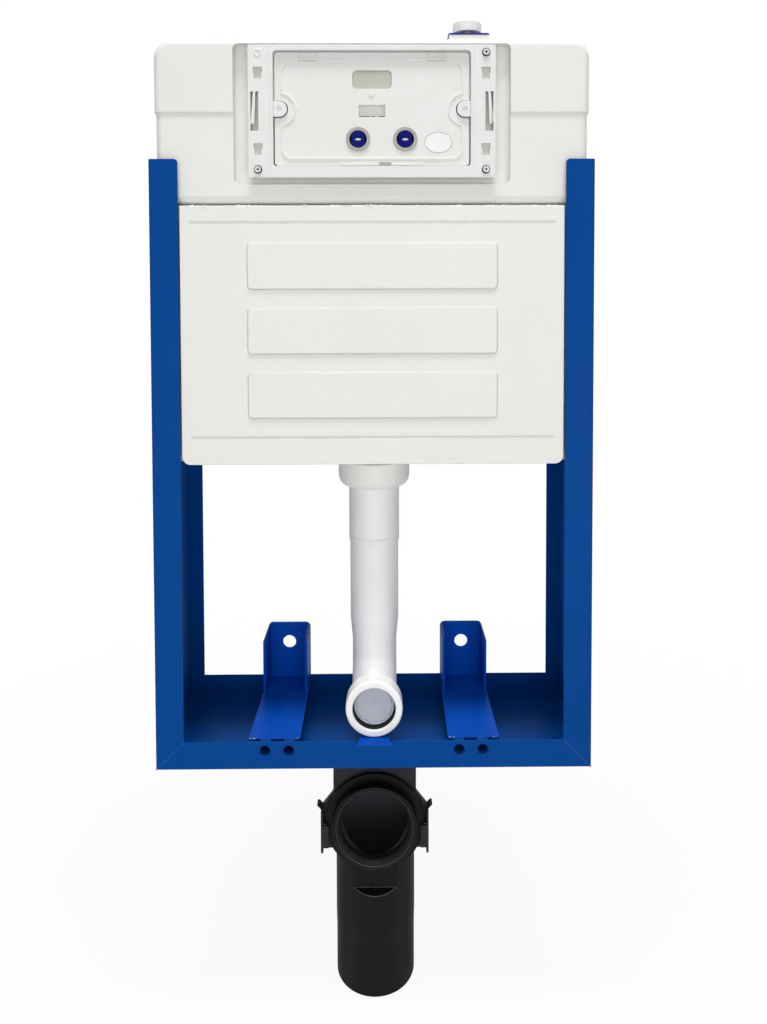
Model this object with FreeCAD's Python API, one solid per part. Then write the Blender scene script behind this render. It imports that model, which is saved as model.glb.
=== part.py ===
import FreeCAD, Part
import math
import os

# A concealed cistern frame: a folded steel frame that carries a cistern, its flush pipe and its drain bend.
# Millimetres. X runs across the frame, Y from its front face back to the wall, Z up from its stud holes.

# Steel frame
FRAME_WIDTH = 460.0
FRAME_DEPTH = 150.0
FRAME_HEIGHT = 640.0
FLANGE = 30.0
POST_BACK_FLANGE = 18.0
SHEET = 2.0
BEND_RADIUS = 3.0
POST_CORNER_RADIUS = 4.0
STUD_RISE = 20.5
STUD_SPACING_INNER = 180.0
STUD_SPACING_OUTER = 230.0
STUD_HOLE = 12.5
NUT_FLATS = 18.0
NUT_LENGTH = 6.0
REST_TAB_WIDTH = 39.0
REST_TAB_DROP = 4.5
REST_TAB_REACH = 19.0

# Wall anchor brackets
ANCHOR_SPACING = 212.0
ANCHOR_HOLE = 16.0
ANCHOR_HOLE_RISE = 43.0
BRACKET_SHEET = 3.0
BRACKET_LEG_WIDTH = 55.0
UPRIGHT_WIDTH = 52.0
UPRIGHT_HEIGHT = 67.0
UPRIGHT_SIDE_DEPTH = 46.0
BRACKET_CORNER_RADIUS = 6.0

# Shelves that carry the cistern between the posts
SHELF_WIDTH = 28.0
SHELF_LENGTH = 112.0
SHELF_LEG = 25.0

# Cistern
TANK_BOTTOM = 303.0
TANK_HEIGHT = 441.0
TANK_SIDE_GAP = 4.0
TANK_BACK_GAP = 4.0
TANK_WALL = 4.0
TANK_CORNER_RADIUS = 20.0
TANK_EDGE_RADIUS = 8.0
UPPER_TANK_FRONT = 6.0
UPPER_TANK_RISE = 272.0
TANK_STEP_RISE = 365.0
TANK_STEP = 1.5
NECK_RADIUS = 34.0
NECK_DROP = 13.5

# Foam panel in front of the cistern
FOAM_GAP = 1.0
FOAM_FRONT = 2.0
FOAM_THICKNESS = 18.0
FOAM_HEIGHT = 269.0
FOAM_CORNER_RADIUS = 9.0
FOAM_BAR_LENGTH = 259.0
FOAM_BAR_HEIGHT = 48.5
FOAM_BAR_PITCH = 67.0
FOAM_BAR_RISE = 1.5
FOAM_BAR_LOWEST = 48.5
FOAM_GROOVE_RADIUS = 1.1
FOAM_GROOVE_LENGTH = 378.0
FOAM_GROOVE_INSET = 17.5
FOAM_GROOVE_LOW = 28.0

# Mounting frame for the flush plate
PLATE_WIDTH = 254.0
PLATE_HEIGHT = 135.0
PLATE_MID_RISE = 365.0
PLATE_WALL = 2.5
RECESS_DEPTH = 9.0
RECESS_MARGIN = 16.0
RECESS_BELOW = 6.0
RECESS_ABOVE = 2.5
ACCESS_WIDTH = 203.0
ACCESS_HEIGHT = 118.0
ACCESS_MID_RISE = 368.0
ACCESS_CORNER_RADIUS = 4.0
EAR_SPACING = 191.0
EAR_RADIUS = 8.0
EAR_HOLE = 5.0
FIXING_SPACING_X = 234.0
FIXING_SPACING_Z = 119.0
FIXING_HOLE = 4.4
SCREW_HEAD_RADIUS = 3.9
SCREW_HEAD_HEIGHT = 2.2
CROSS_LENGTH = 4.4
CROSS_WIDTH = 0.9
KEYHOLE_SPACING_Z = 89.5
KEYHOLE_WIDTH = 9.0
KEYHOLE_NECK = 7.0
KEYHOLE_HEIGHT = 12.0
TONGUE_WINDOW_WIDTH = 8.0
TONGUE_WINDOW_HEIGHT = 40.0
TONGUE_FOOT = 7.0
HOLLOW_CORNER_RADIUS = 1.0

# Access cover
COVER_GAP = 1.0
COVER_FRONT = 5.0
COVER_THICKNESS = 2.5
COVER_SEAT_GAP = 0.3
COVER_LEDGE = 3.0
COVER_RIB = 1.8
COVER_RIB_HEIGHT = 1.0
COVER_RIB_INSET = 6.5
PANE_LIP = 2.0
PANE_FRONT = 6.0
WINDOW_WIDTH = 40.0
WINDOW_HEIGHT = 18.5
WINDOW_MID_RISE = 398.3
WINDOW_RADIUS = 4.0
FINGER_SLOT_WIDTH = 27.0
FINGER_SLOT_HEIGHT = 12.4
FINGER_SLOT_RISE = 366.2
FINGER_SLOT_DEPTH = 6.0
POCKET_WALL = 1.5
SNAP_WINDOW_X = 66.3
SNAP_WINDOW_WIDTH = 18.6
SNAP_WINDOW_HEIGHT = 8.0
SNAP_WINDOW_RISE = 421.0
SNAP_WINDOW_DEPTH = 1.5
FOOT_TABS = ((-33.0, 7.0), (20.0, 53.0))
FOOT_TAB_HEIGHT = 3.1
FOOT_TAB_RISE = 310.5
FOOT_TAB_THICKNESS = 1.2
ROD_MID_X = 9.8
ROD_SPACING = 48.7
ROD_RISE = 337.3
GUIDE_FLANGE_RADIUS = 12.5
GUIDE_RADIUS = 11.5
GUIDE_LENGTH = 16.0
GUIDE_BORE = 9.0
GUIDE_FLANGE = 1.2
ROD_HEAD_RADIUS = 8.7
ROD_HEAD_WIDTH = 14.0
ROD_HEAD_LENGTH = 18.0
ROD_SHAFT_RADIUS = 4.0
ROD_FRONT = 4.0
ROD_SLOT_WIDTH = 7.5
ROD_SLOT_HEIGHT = 3.2
ROD_SLOT_DEPTH = 3.0

# Flush mechanism
LEVER_PIVOT_Y = 46.0
LEVER_ARM = 28.0
LEVER_PIN_RADIUS = 2.5
LEVER_HUB_RADIUS = 6.5
LEVER_HUB_LENGTH = 16.0
LEVER_THICKNESS = 6.0
LEVER_ARM_HEIGHT = 5.0
LEVER_PAD = 12.0
LEVER_PLAY = 0.9
FORK_WIDTH = 16.0
FORK_BRIDGE = 3.0
FORK_CLEARANCE = 1.5
ROCKER_BRACKET_SPREAD = 26.0
ROCKER_BRACKET_WALL = 4.0
ROCKER_BRACKET_DEPTH = 16.0
ROCKER_PIN_OVERHANG = 2.0
RUNNING_CLEARANCE = 0.05
BODY_GAP = 0.3
FLUSH_Y = 72.0
FULL_LIFT_X = -12.0
HALF_LIFT_X = 22.0
LIFT_ROD_RADIUS = 3.0
LIFT_COLLAR_RADIUS = 7.0
LIFT_COLLAR_HEIGHT = 4.0
LIFT_ROD_ROOT = 6.0
OVERFLOW_RADIUS = 15.0
OVERFLOW_WALL = 2.0
OVERFLOW_HEIGHT = 290.0
BASKET_RADIUS = 45.0
BASKET_WALL = 2.5
BASKET_HEIGHT = 120.0
BASKET_WINDOW_WIDTH = 40.0
BASKET_WINDOW_LOW = 12.0
BASKET_WINDOW_HIGH = 90.0
BASKET_FOOT = 3.0
BASKET_LID = 4.0
HALF_FLOAT_WALL = 9.8
HALF_FLOAT_PLAY = 4.5
HALF_FLOAT_HEIGHT = 46.0
SEAT_FLANGE_RADIUS = 42.0
SEAT_FLANGE = 4.0
SEAT_BORE = 26.0
SPIGOT_RADIUS = 31.0
SPIGOT_DROP = 25.0
SPIGOT_CLEARANCE = 0.5
SEAL_RADIUS = 32.0
SEAL_THICKNESS = 3.0
VALVE_DISC = 4.0

# Filling side
INLET_TO_VALVE = 57.0
INLET_Y = 72.0
INLET_THREAD_RADIUS = 10.4
INLET_BORE = 6.0
INLET_NECK_RADIUS = 9.3
INLET_NECK_HEIGHT = 5.5
INLET_TAIL = 10.0
INLET_BOSS_RISE = 18.5
INLET_BOSS_SIDE = 43.0
VALVE_DATUM_DROP = 3.0
LOCKNUT_FLATS = 29.0
LOCKNUT_HEIGHT = 6.0
GASKET_SIDE = 44.5
GASKET_THICKNESS = 1.5
GASKET_CORNER_RADIUS = 3.0
CAP_RADIUS = 15.5
CAP_HEIGHT = 11.0
CAP_ROOF = 2.0
CAP_EDGE_RADIUS = 1.0
FILL_VALVE_INSET = 62.0
FILL_VALVE_DROP = 46.0
FILL_VALVE_RADIUS = 14.0
FILL_VALVE_HEIGHT = 250.0
FILL_STOP_FLANGE = 5.0
FILL_EAR_WIDTH = 16.0
FILL_EAR_DEPTH = 18.0
FILL_EAR_SLOT = 8.0
FILL_EAR_HEIGHT = 12.0
FILL_PIVOT_RISE = 7.0
FILL_PIN_RADIUS = 2.0
FILL_PIN_LENGTH = 22.0
FILL_LEVER_HUB_RADIUS = 5.0
FILL_LEVER_HEIGHT = 4.0
FILL_FORK_WIDTH = 16.0
FILL_FORK_HALF_LENGTH = 6.0
FILL_FORK_SLOT = 8.0
HOLDER_WALL = 3.0
HOLDER_COLLAR_TOP = 8.0
HOLDER_COLLAR_BOTTOM = 20.0
HOLDER_POST_WIDTH = 16.0
HOLDER_POST_DEPTH = 4.0
HOLDER_STANDOFF = 6.0
HOLDER_FOOT_WIDTH = 28.0
HOLDER_FOOT_FRONT = 14.0
HOLDER_FOOT_BACK = 8.0
FLOAT_RADIUS = 34.0
FLOAT_HEIGHT = 70.0
FLOAT_WALL = 2.0
FLOAT_LEVER_REACH = 38.0
FLOAT_ROD_RADIUS = 2.5
FLOAT_ROD_OVERRUN = 8.0
FLOAT_TONGUE_WIDTH = 10.0
FLOAT_TONGUE_TOP = 2.0
FLOAT_TONGUE_BOTTOM = 8.0
FLOAT_COLLAR_RADIUS = 6.0
FLOAT_COLLAR_HEIGHT = 3.0
STOP_VALVE_RADIUS = 13.0
STOP_VALVE_HEIGHT = 42.0
KNOB_RADIUS = 14.0
KNOB_LENGTH = 14.0
KNOB_NOTCHES = 6
KNOB_NOTCH_RADIUS = 4.5
KNOB_NOTCH_OFFSET = 2.0
SPINDLE_RADIUS = 4.0
SPINDLE_BOSS_RADIUS = 8.0
SPINDLE_BOSS_REACH = 9.0
SUPPLY_RADIUS = 6.5
SUPPLY_BEND_RADIUS = 22.0
SUPPLY_DROP = 14.0

# Flush pipe
NUT_RADIUS = 40.0
NUT_HEIGHT = 29.0
NUT_SKIRT = 6.0
NUT_RIM_HEIGHT = 16.5
NUT_LIP = 1.5
NUT_SHOULDER = 4.0
WASHER = 3.0
PIPE_RADIUS = 28.3
SOCKET_RADIUS = 27.2
PIPE_WALL = 2.4
JOINT_Z = 204.0
PIPE_END_BAND = 5.0
PIPE_END_GROOVE = 0.6
INSERT_LENGTH = 60.0
RING_GROOVE_TOP = 13.0
RING_GROOVE_BOTTOM = 18.0
CONE_TOP = 117.0
CONE_BOTTOM = 90.0
BEND_TUBE_RADIUS = 24.8
BEND_RADIUS_FLUSH = 42.0
MOUTH_RADIUS = 30.7
MOUTH_FRONT = 14.0
MOUTH_LENGTH = 19.0
MOUTH_SEAL_RADIUS = 26.5
MOUTH_SEAL_LENGTH = 14.0
MOUTH_SEAL_SETBACK = 4.0
MOUTH_OPENING_RADIUS = 23.3
MOUTH_SEAL_LEAD = 2.5
MOUTH_LIP_RADIUS = 2.5
CONNECTOR_RADIUS = 22.5
PLUG_RECESS = 9.5
PLUG_LENGTH = 6.5
PLUG_WALL = 1.6
PLUG_DISH = 3.0
PLUG_CLEARANCE = 0.4

# Drain
DRAIN_Z = -104.0
DRAIN_RADIUS = 45.5
DRAIN_SPIGOT_RADIUS = 45.0
DRAIN_SPIGOT_LENGTH = 50.0
DRAIN_SPIGOT_TAPER = 25.0
DRAIN_WALL = 3.2
DRAIN_PIPE_Y = 88.0
DRAIN_END = -308.0
DRAIN_MOUTH_FRONT = 27.0
DRAIN_RIM_RADIUS = 46.6
DRAIN_RIM_LENGTH = 9.0
DRAIN_SEAL_RADIUS = 38.0
DRAIN_SEAL_LENGTH = 12.0
DRAIN_SEAL_SETBACK = 2.0
DRAIN_SEAL_LEAD = 4.0
DRAIN_LIP_RADIUS = 2.5
DRAIN_FLANGE_RADIUS = 54.7
DRAIN_FLANGE_FRONT = 38.0
DRAIN_FLANGE = 5.0
PIPE_FLAT_DEPTH = 7.2
PIPE_FLAT_BOTTOM = -186.0
PIPE_LEDGE_SLOPE = 0.8
CLIP_BLOCK_WIDTH = 92.0
CLIP_BLOCK_BACK = 96.0
CLIP_PLATE = 6.0
CLIP_TOP = 4.0
CLIP_SHOULDER_Z = -72.0
CLIP_ARM_TOP = -89.0
CLIP_ARM_BOTTOM = -136.0
CLIP_ARM_X = 57.0
CLIP_ARM = 2.5
CLIP_HOOK = 4.0
CLIP_HOOK_BITE = 4.0
CLIP_HOOK_LOW = -130.0
CLIP_HOOK_HIGH = -105.0
CLIP_LIP_RISE = 5.0
CLIP_LIP_FLARE = 4.5
CLIP_SLIT_TOP = -109.0
CLIP_SLIT_BOTTOM = -131.0
CLIP_CORNER_RADIUS = 2.0
CLIP_SCREW_X = 18.0
CLIP_SCREW_Y = 78.0
CLIP_SCREW_RADIUS = 3.0
CLIP_SCREW_FLATS = 10.0
CLIP_SCREW_HEAD = 4.0
CLIP_SCREW_WASHER = 1.0
CLIP_SCREW_TIP = 1.5

# Places worked out from the sizes
HALF = FRAME_WIDTH / 2
RAIL_BOTTOM = -STUD_RISE
FLANGE_EDGE = RAIL_BOTTOM + FLANGE
POST_TOP = RAIL_BOTTOM + FRAME_HEIGHT
BACK_INNER = FRAME_DEPTH - SHEET
LEG_TOP = FLANGE_EDGE
ANCHOR_Z = LEG_TOP + ANCHOR_HOLE_RISE
TANK_HALF = HALF - SHEET - TANK_SIDE_GAP
TANK_TOP = TANK_BOTTOM + TANK_HEIGHT
TANK_BACK = BACK_INNER - TANK_BACK_GAP
LOWER_TANK_FRONT = FOAM_FRONT + FOAM_THICKNESS
STEP_Z = TANK_BOTTOM + TANK_STEP_RISE
RECESS_FLOOR = UPPER_TANK_FRONT + RECESS_DEPTH
TANK_INNER_FLOOR = TANK_BOTTOM + TANK_WALL
TANK_CEILING = TANK_TOP - TANK_WALL
PLATE_Z = TANK_BOTTOM + PLATE_MID_RISE
ACCESS_Z = TANK_BOTTOM + ACCESS_MID_RISE
ROD_Z = TANK_BOTTOM + ROD_RISE
ROD_X = (ROD_MID_X - ROD_SPACING / 2, ROD_MID_X + ROD_SPACING / 2)
COVER_BACK = COVER_FRONT + COVER_THICKNESS
PIVOT_Z = ROD_Z + LEVER_ARM
LIFT_X = (FULL_LIFT_X, HALF_LIFT_X)
FILL_VALVE_X = TANK_HALF - FILL_VALVE_INSET
INLET_X = FILL_VALVE_X - INLET_TO_VALVE
LEVER_PAD_TOP = PIVOT_Z + LEVER_HUB_RADIUS / 2
COLLAR_BOTTOM = LEVER_PAD_TOP + LEVER_PLAY
NECK_BOTTOM = TANK_BOTTOM - NECK_DROP
NUT_SEAT = NECK_BOTTOM - WASHER
NUT_TOP = NECK_BOTTOM + NUT_SKIRT
NUT_BOTTOM = NUT_TOP - NUT_HEIGHT
SPIGOT_BOTTOM = TANK_BOTTOM - SPIGOT_DROP
REST_TAB_TOP = FLANGE_EDGE - REST_TAB_DROP
MOUTH_Z = REST_TAB_TOP + BODY_GAP + MOUTH_RADIUS
SEAT_TOP = TANK_INNER_FLOOR + SEAT_FLANGE
FOAM_TOP = TANK_BOTTOM + FOAM_HEIGHT
INLET_PAD_TOP = TANK_TOP + INLET_BOSS_RISE
INLET_PAD_BOTTOM = INLET_PAD_TOP - TANK_WALL
VALVE_DATUM = TANK_CEILING - VALVE_DATUM_DROP
GASKET_TOP = INLET_PAD_TOP + GASKET_THICKNESS
INLET_NECK_TOP = GASKET_TOP + INLET_NECK_HEIGHT
STOP_VALVE_TOP = VALVE_DATUM - LOCKNUT_HEIGHT - BODY_GAP
STOP_VALVE_BOTTOM = STOP_VALVE_TOP - STOP_VALVE_HEIGHT
STOP_VALVE_Z = (STOP_VALVE_TOP + STOP_VALVE_BOTTOM) / 2
SPINDLE_BOSS_FRONT = INLET_Y - STOP_VALVE_RADIUS - SPINDLE_BOSS_REACH
FILL_VALVE_TOP = VALVE_DATUM - FILL_VALVE_DROP
FILL_VALVE_BOTTOM = FILL_VALVE_TOP - FILL_VALVE_HEIGHT
FILL_PIVOT_Z = FILL_VALVE_TOP + FILL_PIVOT_RISE
FLOAT_BOTTOM = FILL_VALVE_BOTTOM + FILL_STOP_FLANGE + BODY_GAP
FLOAT_TOP = FLOAT_BOTTOM + FLOAT_HEIGHT
DRAIN_FLANGE_BACK = DRAIN_FLANGE_FRONT + DRAIN_FLANGE
CLIP_ARM_OUT = -CLIP_ARM_X - CLIP_ARM


def box(x0, x1, y0, y1, z0, z1):
    return Part.makeBox(x1 - x0, y1 - y0, z1 - z0, FreeCAD.Vector(x0, y0, z0))


def rod_x(radius, x0, x1, y, z):
    return Part.makeCylinder(radius, x1 - x0, FreeCAD.Vector(x0, y, z), FreeCAD.Vector(1, 0, 0))


def rod_y(radius, y0, y1, x, z):
    return Part.makeCylinder(radius, y1 - y0, FreeCAD.Vector(x, y0, z), FreeCAD.Vector(0, 1, 0))


def rod_z(radius, z0, z1, x, y):
    return Part.makeCylinder(radius, z1 - z0, FreeCAD.Vector(x, y, z0), FreeCAD.Vector(0, 0, 1))


def cone_z(radius_low, radius_high, z0, z1, x, y):
    return Part.makeCone(radius_low, radius_high, z1 - z0, FreeCAD.Vector(x, y, z0), FreeCAD.Vector(0, 0, 1))


def cone_y(radius_front, radius_back, y0, y1, x, z):
    return Part.makeCone(radius_front, radius_back, y1 - y0, FreeCAD.Vector(x, y0, z), FreeCAD.Vector(0, 1, 0))


def ring_y(outer, inner, y0, y1, x, z):
    return rod_y(outer, y0, y1, x, z).cut(rod_y(inner, y0, y1, x, z))


def ring_z(outer, inner, z0, z1, x, y):
    return rod_z(outer, z0, z1, x, y).cut(rod_z(inner, z0, z1, x, y))


def join(*shapes):
    """One solid from touching shapes."""
    whole = shapes[0]
    for shape in shapes[1:]:
        whole = whole.fuse(shape)
    return whole.removeSplitter()


def group(shapes):
    """Separate solids kept in one node."""
    return Part.makeCompound(list(shapes))


def mirrored(shape):
    """The same shape on the other side of the frame's middle plane."""
    return shape.mirror(FreeCAD.Vector(0, 0, 0), FreeCAD.Vector(1, 0, 0))


def rounded(shape, radius, direction, chosen=lambda point: True):
    """Rounds the straight edges that run along a direction and whose middle point is chosen."""
    axis = FreeCAD.Vector(*direction)
    edges = []
    for edge in shape.Edges:
        if not isinstance(edge.Curve, Part.Line):
            continue
        ends = edge.Vertexes[-1].Point - edge.Vertexes[0].Point
        middle = (edge.Vertexes[-1].Point + edge.Vertexes[0].Point) * 0.5
        if abs(abs(ends.normalize().dot(axis)) - 1) < 1e-6 and chosen(middle):
            edges.append(edge)
    return shape.makeFillet(radius, edges)


def slab(x0, x1, z0, z1, radius, y0, y1):
    """A plate in the XZ plane with four rounded corners."""
    return rounded(box(x0, x1, y0, y1, z0, z1), radius, (0, 1, 0))


def extruded_y(points, y0, y1):
    """A plate with a polygon outline in the XZ plane."""
    corners = [FreeCAD.Vector(x, y0, z) for x, z in points]
    return Part.Face(Part.makePolygon(corners + corners[:1])).extrude(FreeCAD.Vector(0, y1 - y0, 0))


def extruded_x(points, x0, x1):
    """A plate with a polygon outline in the YZ plane."""
    corners = [FreeCAD.Vector(x0, y, z) for y, z in points]
    return Part.Face(Part.makePolygon(corners + corners[:1])).extrude(FreeCAD.Vector(x1 - x0, 0, 0))


def extruded_z(points, z0, z1):
    """A plate with a polygon outline in the XY plane."""
    corners = [FreeCAD.Vector(x, y, z0) for x, y in points]
    return Part.Face(Part.makePolygon(corners + corners[:1])).extrude(FreeCAD.Vector(0, 0, z1 - z0))


def hexagon(flats):
    """The corners of a hexagon about its middle."""
    across = flats / math.sqrt(3)
    return [(across * math.cos(math.radians(a)), across * math.sin(math.radians(a))) for a in range(0, 360, 60)]


def hexagon_y(flats, y0, y1, x, z):
    """A hexagonal bar along Y."""
    return extruded_y([(x + u, z + v) for u, v in hexagon(flats)], y0, y1)


def hexagon_z(flats, z0, z1, x, y):
    """A hexagonal bar along Z."""
    return extruded_z([(x + u, y + v) for u, v in hexagon(flats)], z0, z1)


def turned(profile, x, y):
    """A solid turned about a vertical axis from a closed outline of radius and height."""
    corners = [FreeCAD.Vector(x + r, y, z) for r, z in profile]
    face = Part.Face(Part.makePolygon(corners + corners[:1]))
    return face.revolve(FreeCAD.Vector(x, y, 0), FreeCAD.Vector(0, 0, 1), 360)


# Steel frame

def folded_channel(outer, inner, direction, at_web):
    """A folded channel: the outer block less the inner one, with both folds of the web rounded."""
    outside = rounded(outer, BEND_RADIUS, direction, at_web)
    inside = rounded(inner, BEND_RADIUS - SHEET, direction, at_web)
    return outside.cut(inside)


def below_mitre(slope, y0, y1):
    """The space below a sloping cut that starts in the left post's outer bottom corner."""
    near = FLANGE
    far = FRAME_WIDTH + FLANGE
    low = RAIL_BOTTOM - near * slope
    points = [(-HALF - near, low), (-HALF + far, RAIL_BOTTOM + far * slope), (-HALF + far, low)]
    return extruded_y(points, y0, y1)


def mitre_wedge():
    """The corner space below the left post's mitre, which runs to the inner corner of each pair of flanges."""
    front = below_mitre(1, -FLANGE, BACK_INNER)
    back = below_mitre(FLANGE / POST_BACK_FLANGE, BACK_INNER, FRAME_DEPTH + FLANGE)
    return front.fuse(back)


def post_left():
    """An open channel with a wide front flange and a narrower one against the wall."""
    outer = box(-HALF, -HALF + FLANGE, 0, FRAME_DEPTH, RAIL_BOTTOM, POST_TOP)
    inner = box(-HALF + SHEET, HALF, SHEET, BACK_INNER, RAIL_BOTTOM - FLANGE, POST_TOP + FLANGE)
    post = folded_channel(outer, inner, (0, 0, 1), lambda point: point.x < -HALF + FLANGE / 2)
    edge = -HALF + POST_BACK_FLANGE
    post = post.cut(box(edge, edge + FLANGE, BACK_INNER, FRAME_DEPTH, RAIL_BOTTOM, POST_TOP))
    post = post.cut(mitre_wedge())
    inner_top = lambda point: point.z > POST_TOP - 1 and point.x > edge - 1
    return rounded(post, POST_CORNER_RADIUS, (0, 1, 0), inner_top)


def rest_tab():
    """The small tongue of the rail that is bent back under the flush bend's mouth."""
    half = REST_TAB_WIDTH / 2
    tip = half - REST_TAB_REACH / 4
    outline = [(-half, 0), (half, 0), (half, SHEET), (tip, REST_TAB_REACH), (-tip, REST_TAB_REACH),
               (-half, SHEET)]
    return extruded_z(outline, REST_TAB_TOP - SHEET, REST_TAB_TOP)


def stud_places():
    half_inner = STUD_SPACING_INNER / 2
    half_outer = STUD_SPACING_OUTER / 2
    return (-half_outer, -half_inner, half_inner, half_outer)


def bottom_rail():
    outer = box(-HALF, HALF, 0, FRAME_DEPTH, RAIL_BOTTOM, FLANGE_EDGE)
    inner = box(-HALF - FLANGE, HALF + FLANGE, SHEET, BACK_INNER, RAIL_BOTTOM + SHEET, FLANGE_EDGE + FLANGE)
    rail = folded_channel(outer, inner, (1, 0, 0), lambda point: point.z < RAIL_BOTTOM + FLANGE / 2)
    rail = rail.common(mitre_wedge()).common(mirrored(mitre_wedge()))
    half = REST_TAB_WIDTH / 2
    rail = rail.cut(box(-half, half, 0, SHEET, REST_TAB_TOP, FLANGE_EDGE))
    rail = join(rail, rest_tab())
    for x in stud_places():
        rail = rail.cut(rod_y(STUD_HOLE / 2, 0, SHEET, x, 0))
    for x in (-CLIP_SCREW_X, CLIP_SCREW_X):
        rail = rail.cut(rod_z(CLIP_SCREW_RADIUS, RAIL_BOTTOM, RAIL_BOTTOM + SHEET, x, CLIP_SCREW_Y))
    return rail


def stud_nuts():
    """The four nuts welded behind the stud holes, with the thread left as a plain bore."""
    nuts = []
    for x in stud_places():
        nut = hexagon_y(NUT_FLATS, SHEET, SHEET + NUT_LENGTH, x, 0)
        nuts.append(nut.cut(rod_y(STUD_HOLE / 2, SHEET, SHEET + NUT_LENGTH, x, 0)))
    return group(nuts)


def bracket_side(x0, x1):
    """One side wall of the upright, with its free top corner rounded."""
    wall = box(x0, x1, BACK_INNER - UPRIGHT_SIDE_DEPTH, BACK_INNER, LEG_TOP, LEG_TOP + UPRIGHT_HEIGHT)
    free_corner = lambda point: point.y < BACK_INNER - 1 and point.z > LEG_TOP + 1
    return rounded(wall, BRACKET_CORNER_RADIUS, (1, 0, 0), free_corner)


def anchor_bracket_left():
    """A level leg across the rail with an open channel standing on its back end, bolted to the wall."""
    middle = -ANCHOR_SPACING / 2
    half_leg = BRACKET_LEG_WIDTH / 2
    x0 = middle - UPRIGHT_WIDTH / 2
    x1 = middle + UPRIGHT_WIDTH / 2
    front = SHEET + NUT_LENGTH
    top = LEG_TOP + UPRIGHT_HEIGHT
    outline = [(middle - half_leg, front), (middle + half_leg, front), (x1, BACK_INNER), (x0, BACK_INNER)]
    leg = extruded_z(outline, LEG_TOP - BRACKET_SHEET, LEG_TOP)
    back = box(x0, x1, BACK_INNER - BRACKET_SHEET, BACK_INNER, LEG_TOP, top)
    sides = bracket_side(x0, x0 + BRACKET_SHEET).fuse(bracket_side(x1 - BRACKET_SHEET, x1))
    upright = back.fuse(sides)
    arch = slab(x0, x1, LEG_TOP - UPRIGHT_HEIGHT, top, BRACKET_CORNER_RADIUS, 0, BACK_INNER)
    bracket = join(leg, upright.common(arch))
    return bracket.cut(rod_y(ANCHOR_HOLE / 2, BACK_INNER - BRACKET_SHEET, BACK_INNER, middle, ANCHOR_Z))


def tank_shelf_left():
    """An angle on the post's web, under the cistern's corner."""
    web = -HALF + SHEET
    middle = (UPPER_TANK_FRONT + TANK_BACK) / 2
    y0 = middle - SHELF_LENGTH / 2
    y1 = middle + SHELF_LENGTH / 2
    shelf = box(web, web + SHELF_WIDTH, y0, y1, TANK_BOTTOM - SHEET, TANK_BOTTOM)
    return join(shelf, box(web, web + SHEET, y0, y1, TANK_BOTTOM - SHELF_LEG, TANK_BOTTOM))


# Cistern

def tank_slab(side, z0, z1, y0, y1):
    """A box as wide as the cistern or its hollow, rounded in its XZ corners."""
    return slab(-side, side, z0, z1, TANK_CORNER_RADIUS / 2, y0, y1)


def tank_outside():
    lower = tank_slab(TANK_HALF, TANK_BOTTOM, STEP_Z, LOWER_TANK_FRONT, TANK_BACK)
    upper_bottom = TANK_BOTTOM + UPPER_TANK_RISE
    upper = box(-TANK_HALF, TANK_HALF, UPPER_TANK_FRONT, TANK_BACK, upper_bottom, STEP_Z)
    upper = rounded(upper, TANK_EDGE_RADIUS, (0, 0, 1))
    upper = rounded(upper, TANK_EDGE_RADIUS, (1, 0, 0), lambda at: at.z < STEP_Z - 1 and at.y < TANK_BACK - 1)
    side = TANK_HALF + TANK_STEP
    crown = box(-side, side, UPPER_TANK_FRONT - TANK_STEP, TANK_BACK + TANK_STEP, STEP_Z, TANK_TOP)
    crown = rounded(crown, TANK_CORNER_RADIUS, (0, 1, 0), lambda point: point.z > TANK_TOP - 1)
    crown = crown.makeFillet(TANK_EDGE_RADIUS, front_and_back_edges(crown))
    return join(lower, upper, crown)


def front_and_back_edges(crown):
    """The edges of the crown's front and back faces, without the one along its foot."""
    edges = []
    for edge in crown.Edges:
        box_of_edge = edge.BoundBox
        if box_of_edge.YLength < 1e-6 and box_of_edge.ZMax > STEP_Z + 1:
            edges.append(edge)
    return edges


def tank_inside():
    wall = TANK_WALL
    side = TANK_HALF - wall
    upper_bottom = TANK_BOTTOM + UPPER_TANK_RISE + wall
    lower = tank_slab(side, TANK_INNER_FLOOR, TANK_CEILING, LOWER_TANK_FRONT + wall, TANK_BACK - wall)
    upper = tank_slab(side, upper_bottom, TANK_CEILING, UPPER_TANK_FRONT + wall, TANK_BACK - wall)
    return lower.fuse(upper)


def recess_sides(extra):
    """The recess for the plate frame, grown all round by a wall."""
    half = PLATE_WIDTH / 2 + RECESS_MARGIN + extra
    bottom = PLATE_Z - PLATE_HEIGHT / 2 - RECESS_BELOW - extra
    top = PLATE_Z + PLATE_HEIGHT / 2 + RECESS_ABOVE + extra
    return slab(-half, half, bottom, top, RECESS_BELOW, -RECESS_MARGIN, RECESS_FLOOR + extra)


def inlet_block(half, z0, z1):
    """A square block about the inlet's axis."""
    return box(INLET_X - half, INLET_X + half, INLET_Y - half, INLET_Y + half, z0, z1)


def inlet_boss(wall, top):
    """The square boss on the cistern's top that carries the water inlet, less a wall."""
    return inlet_block(INLET_BOSS_SIDE / 2 - wall, TANK_CEILING, top)


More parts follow.
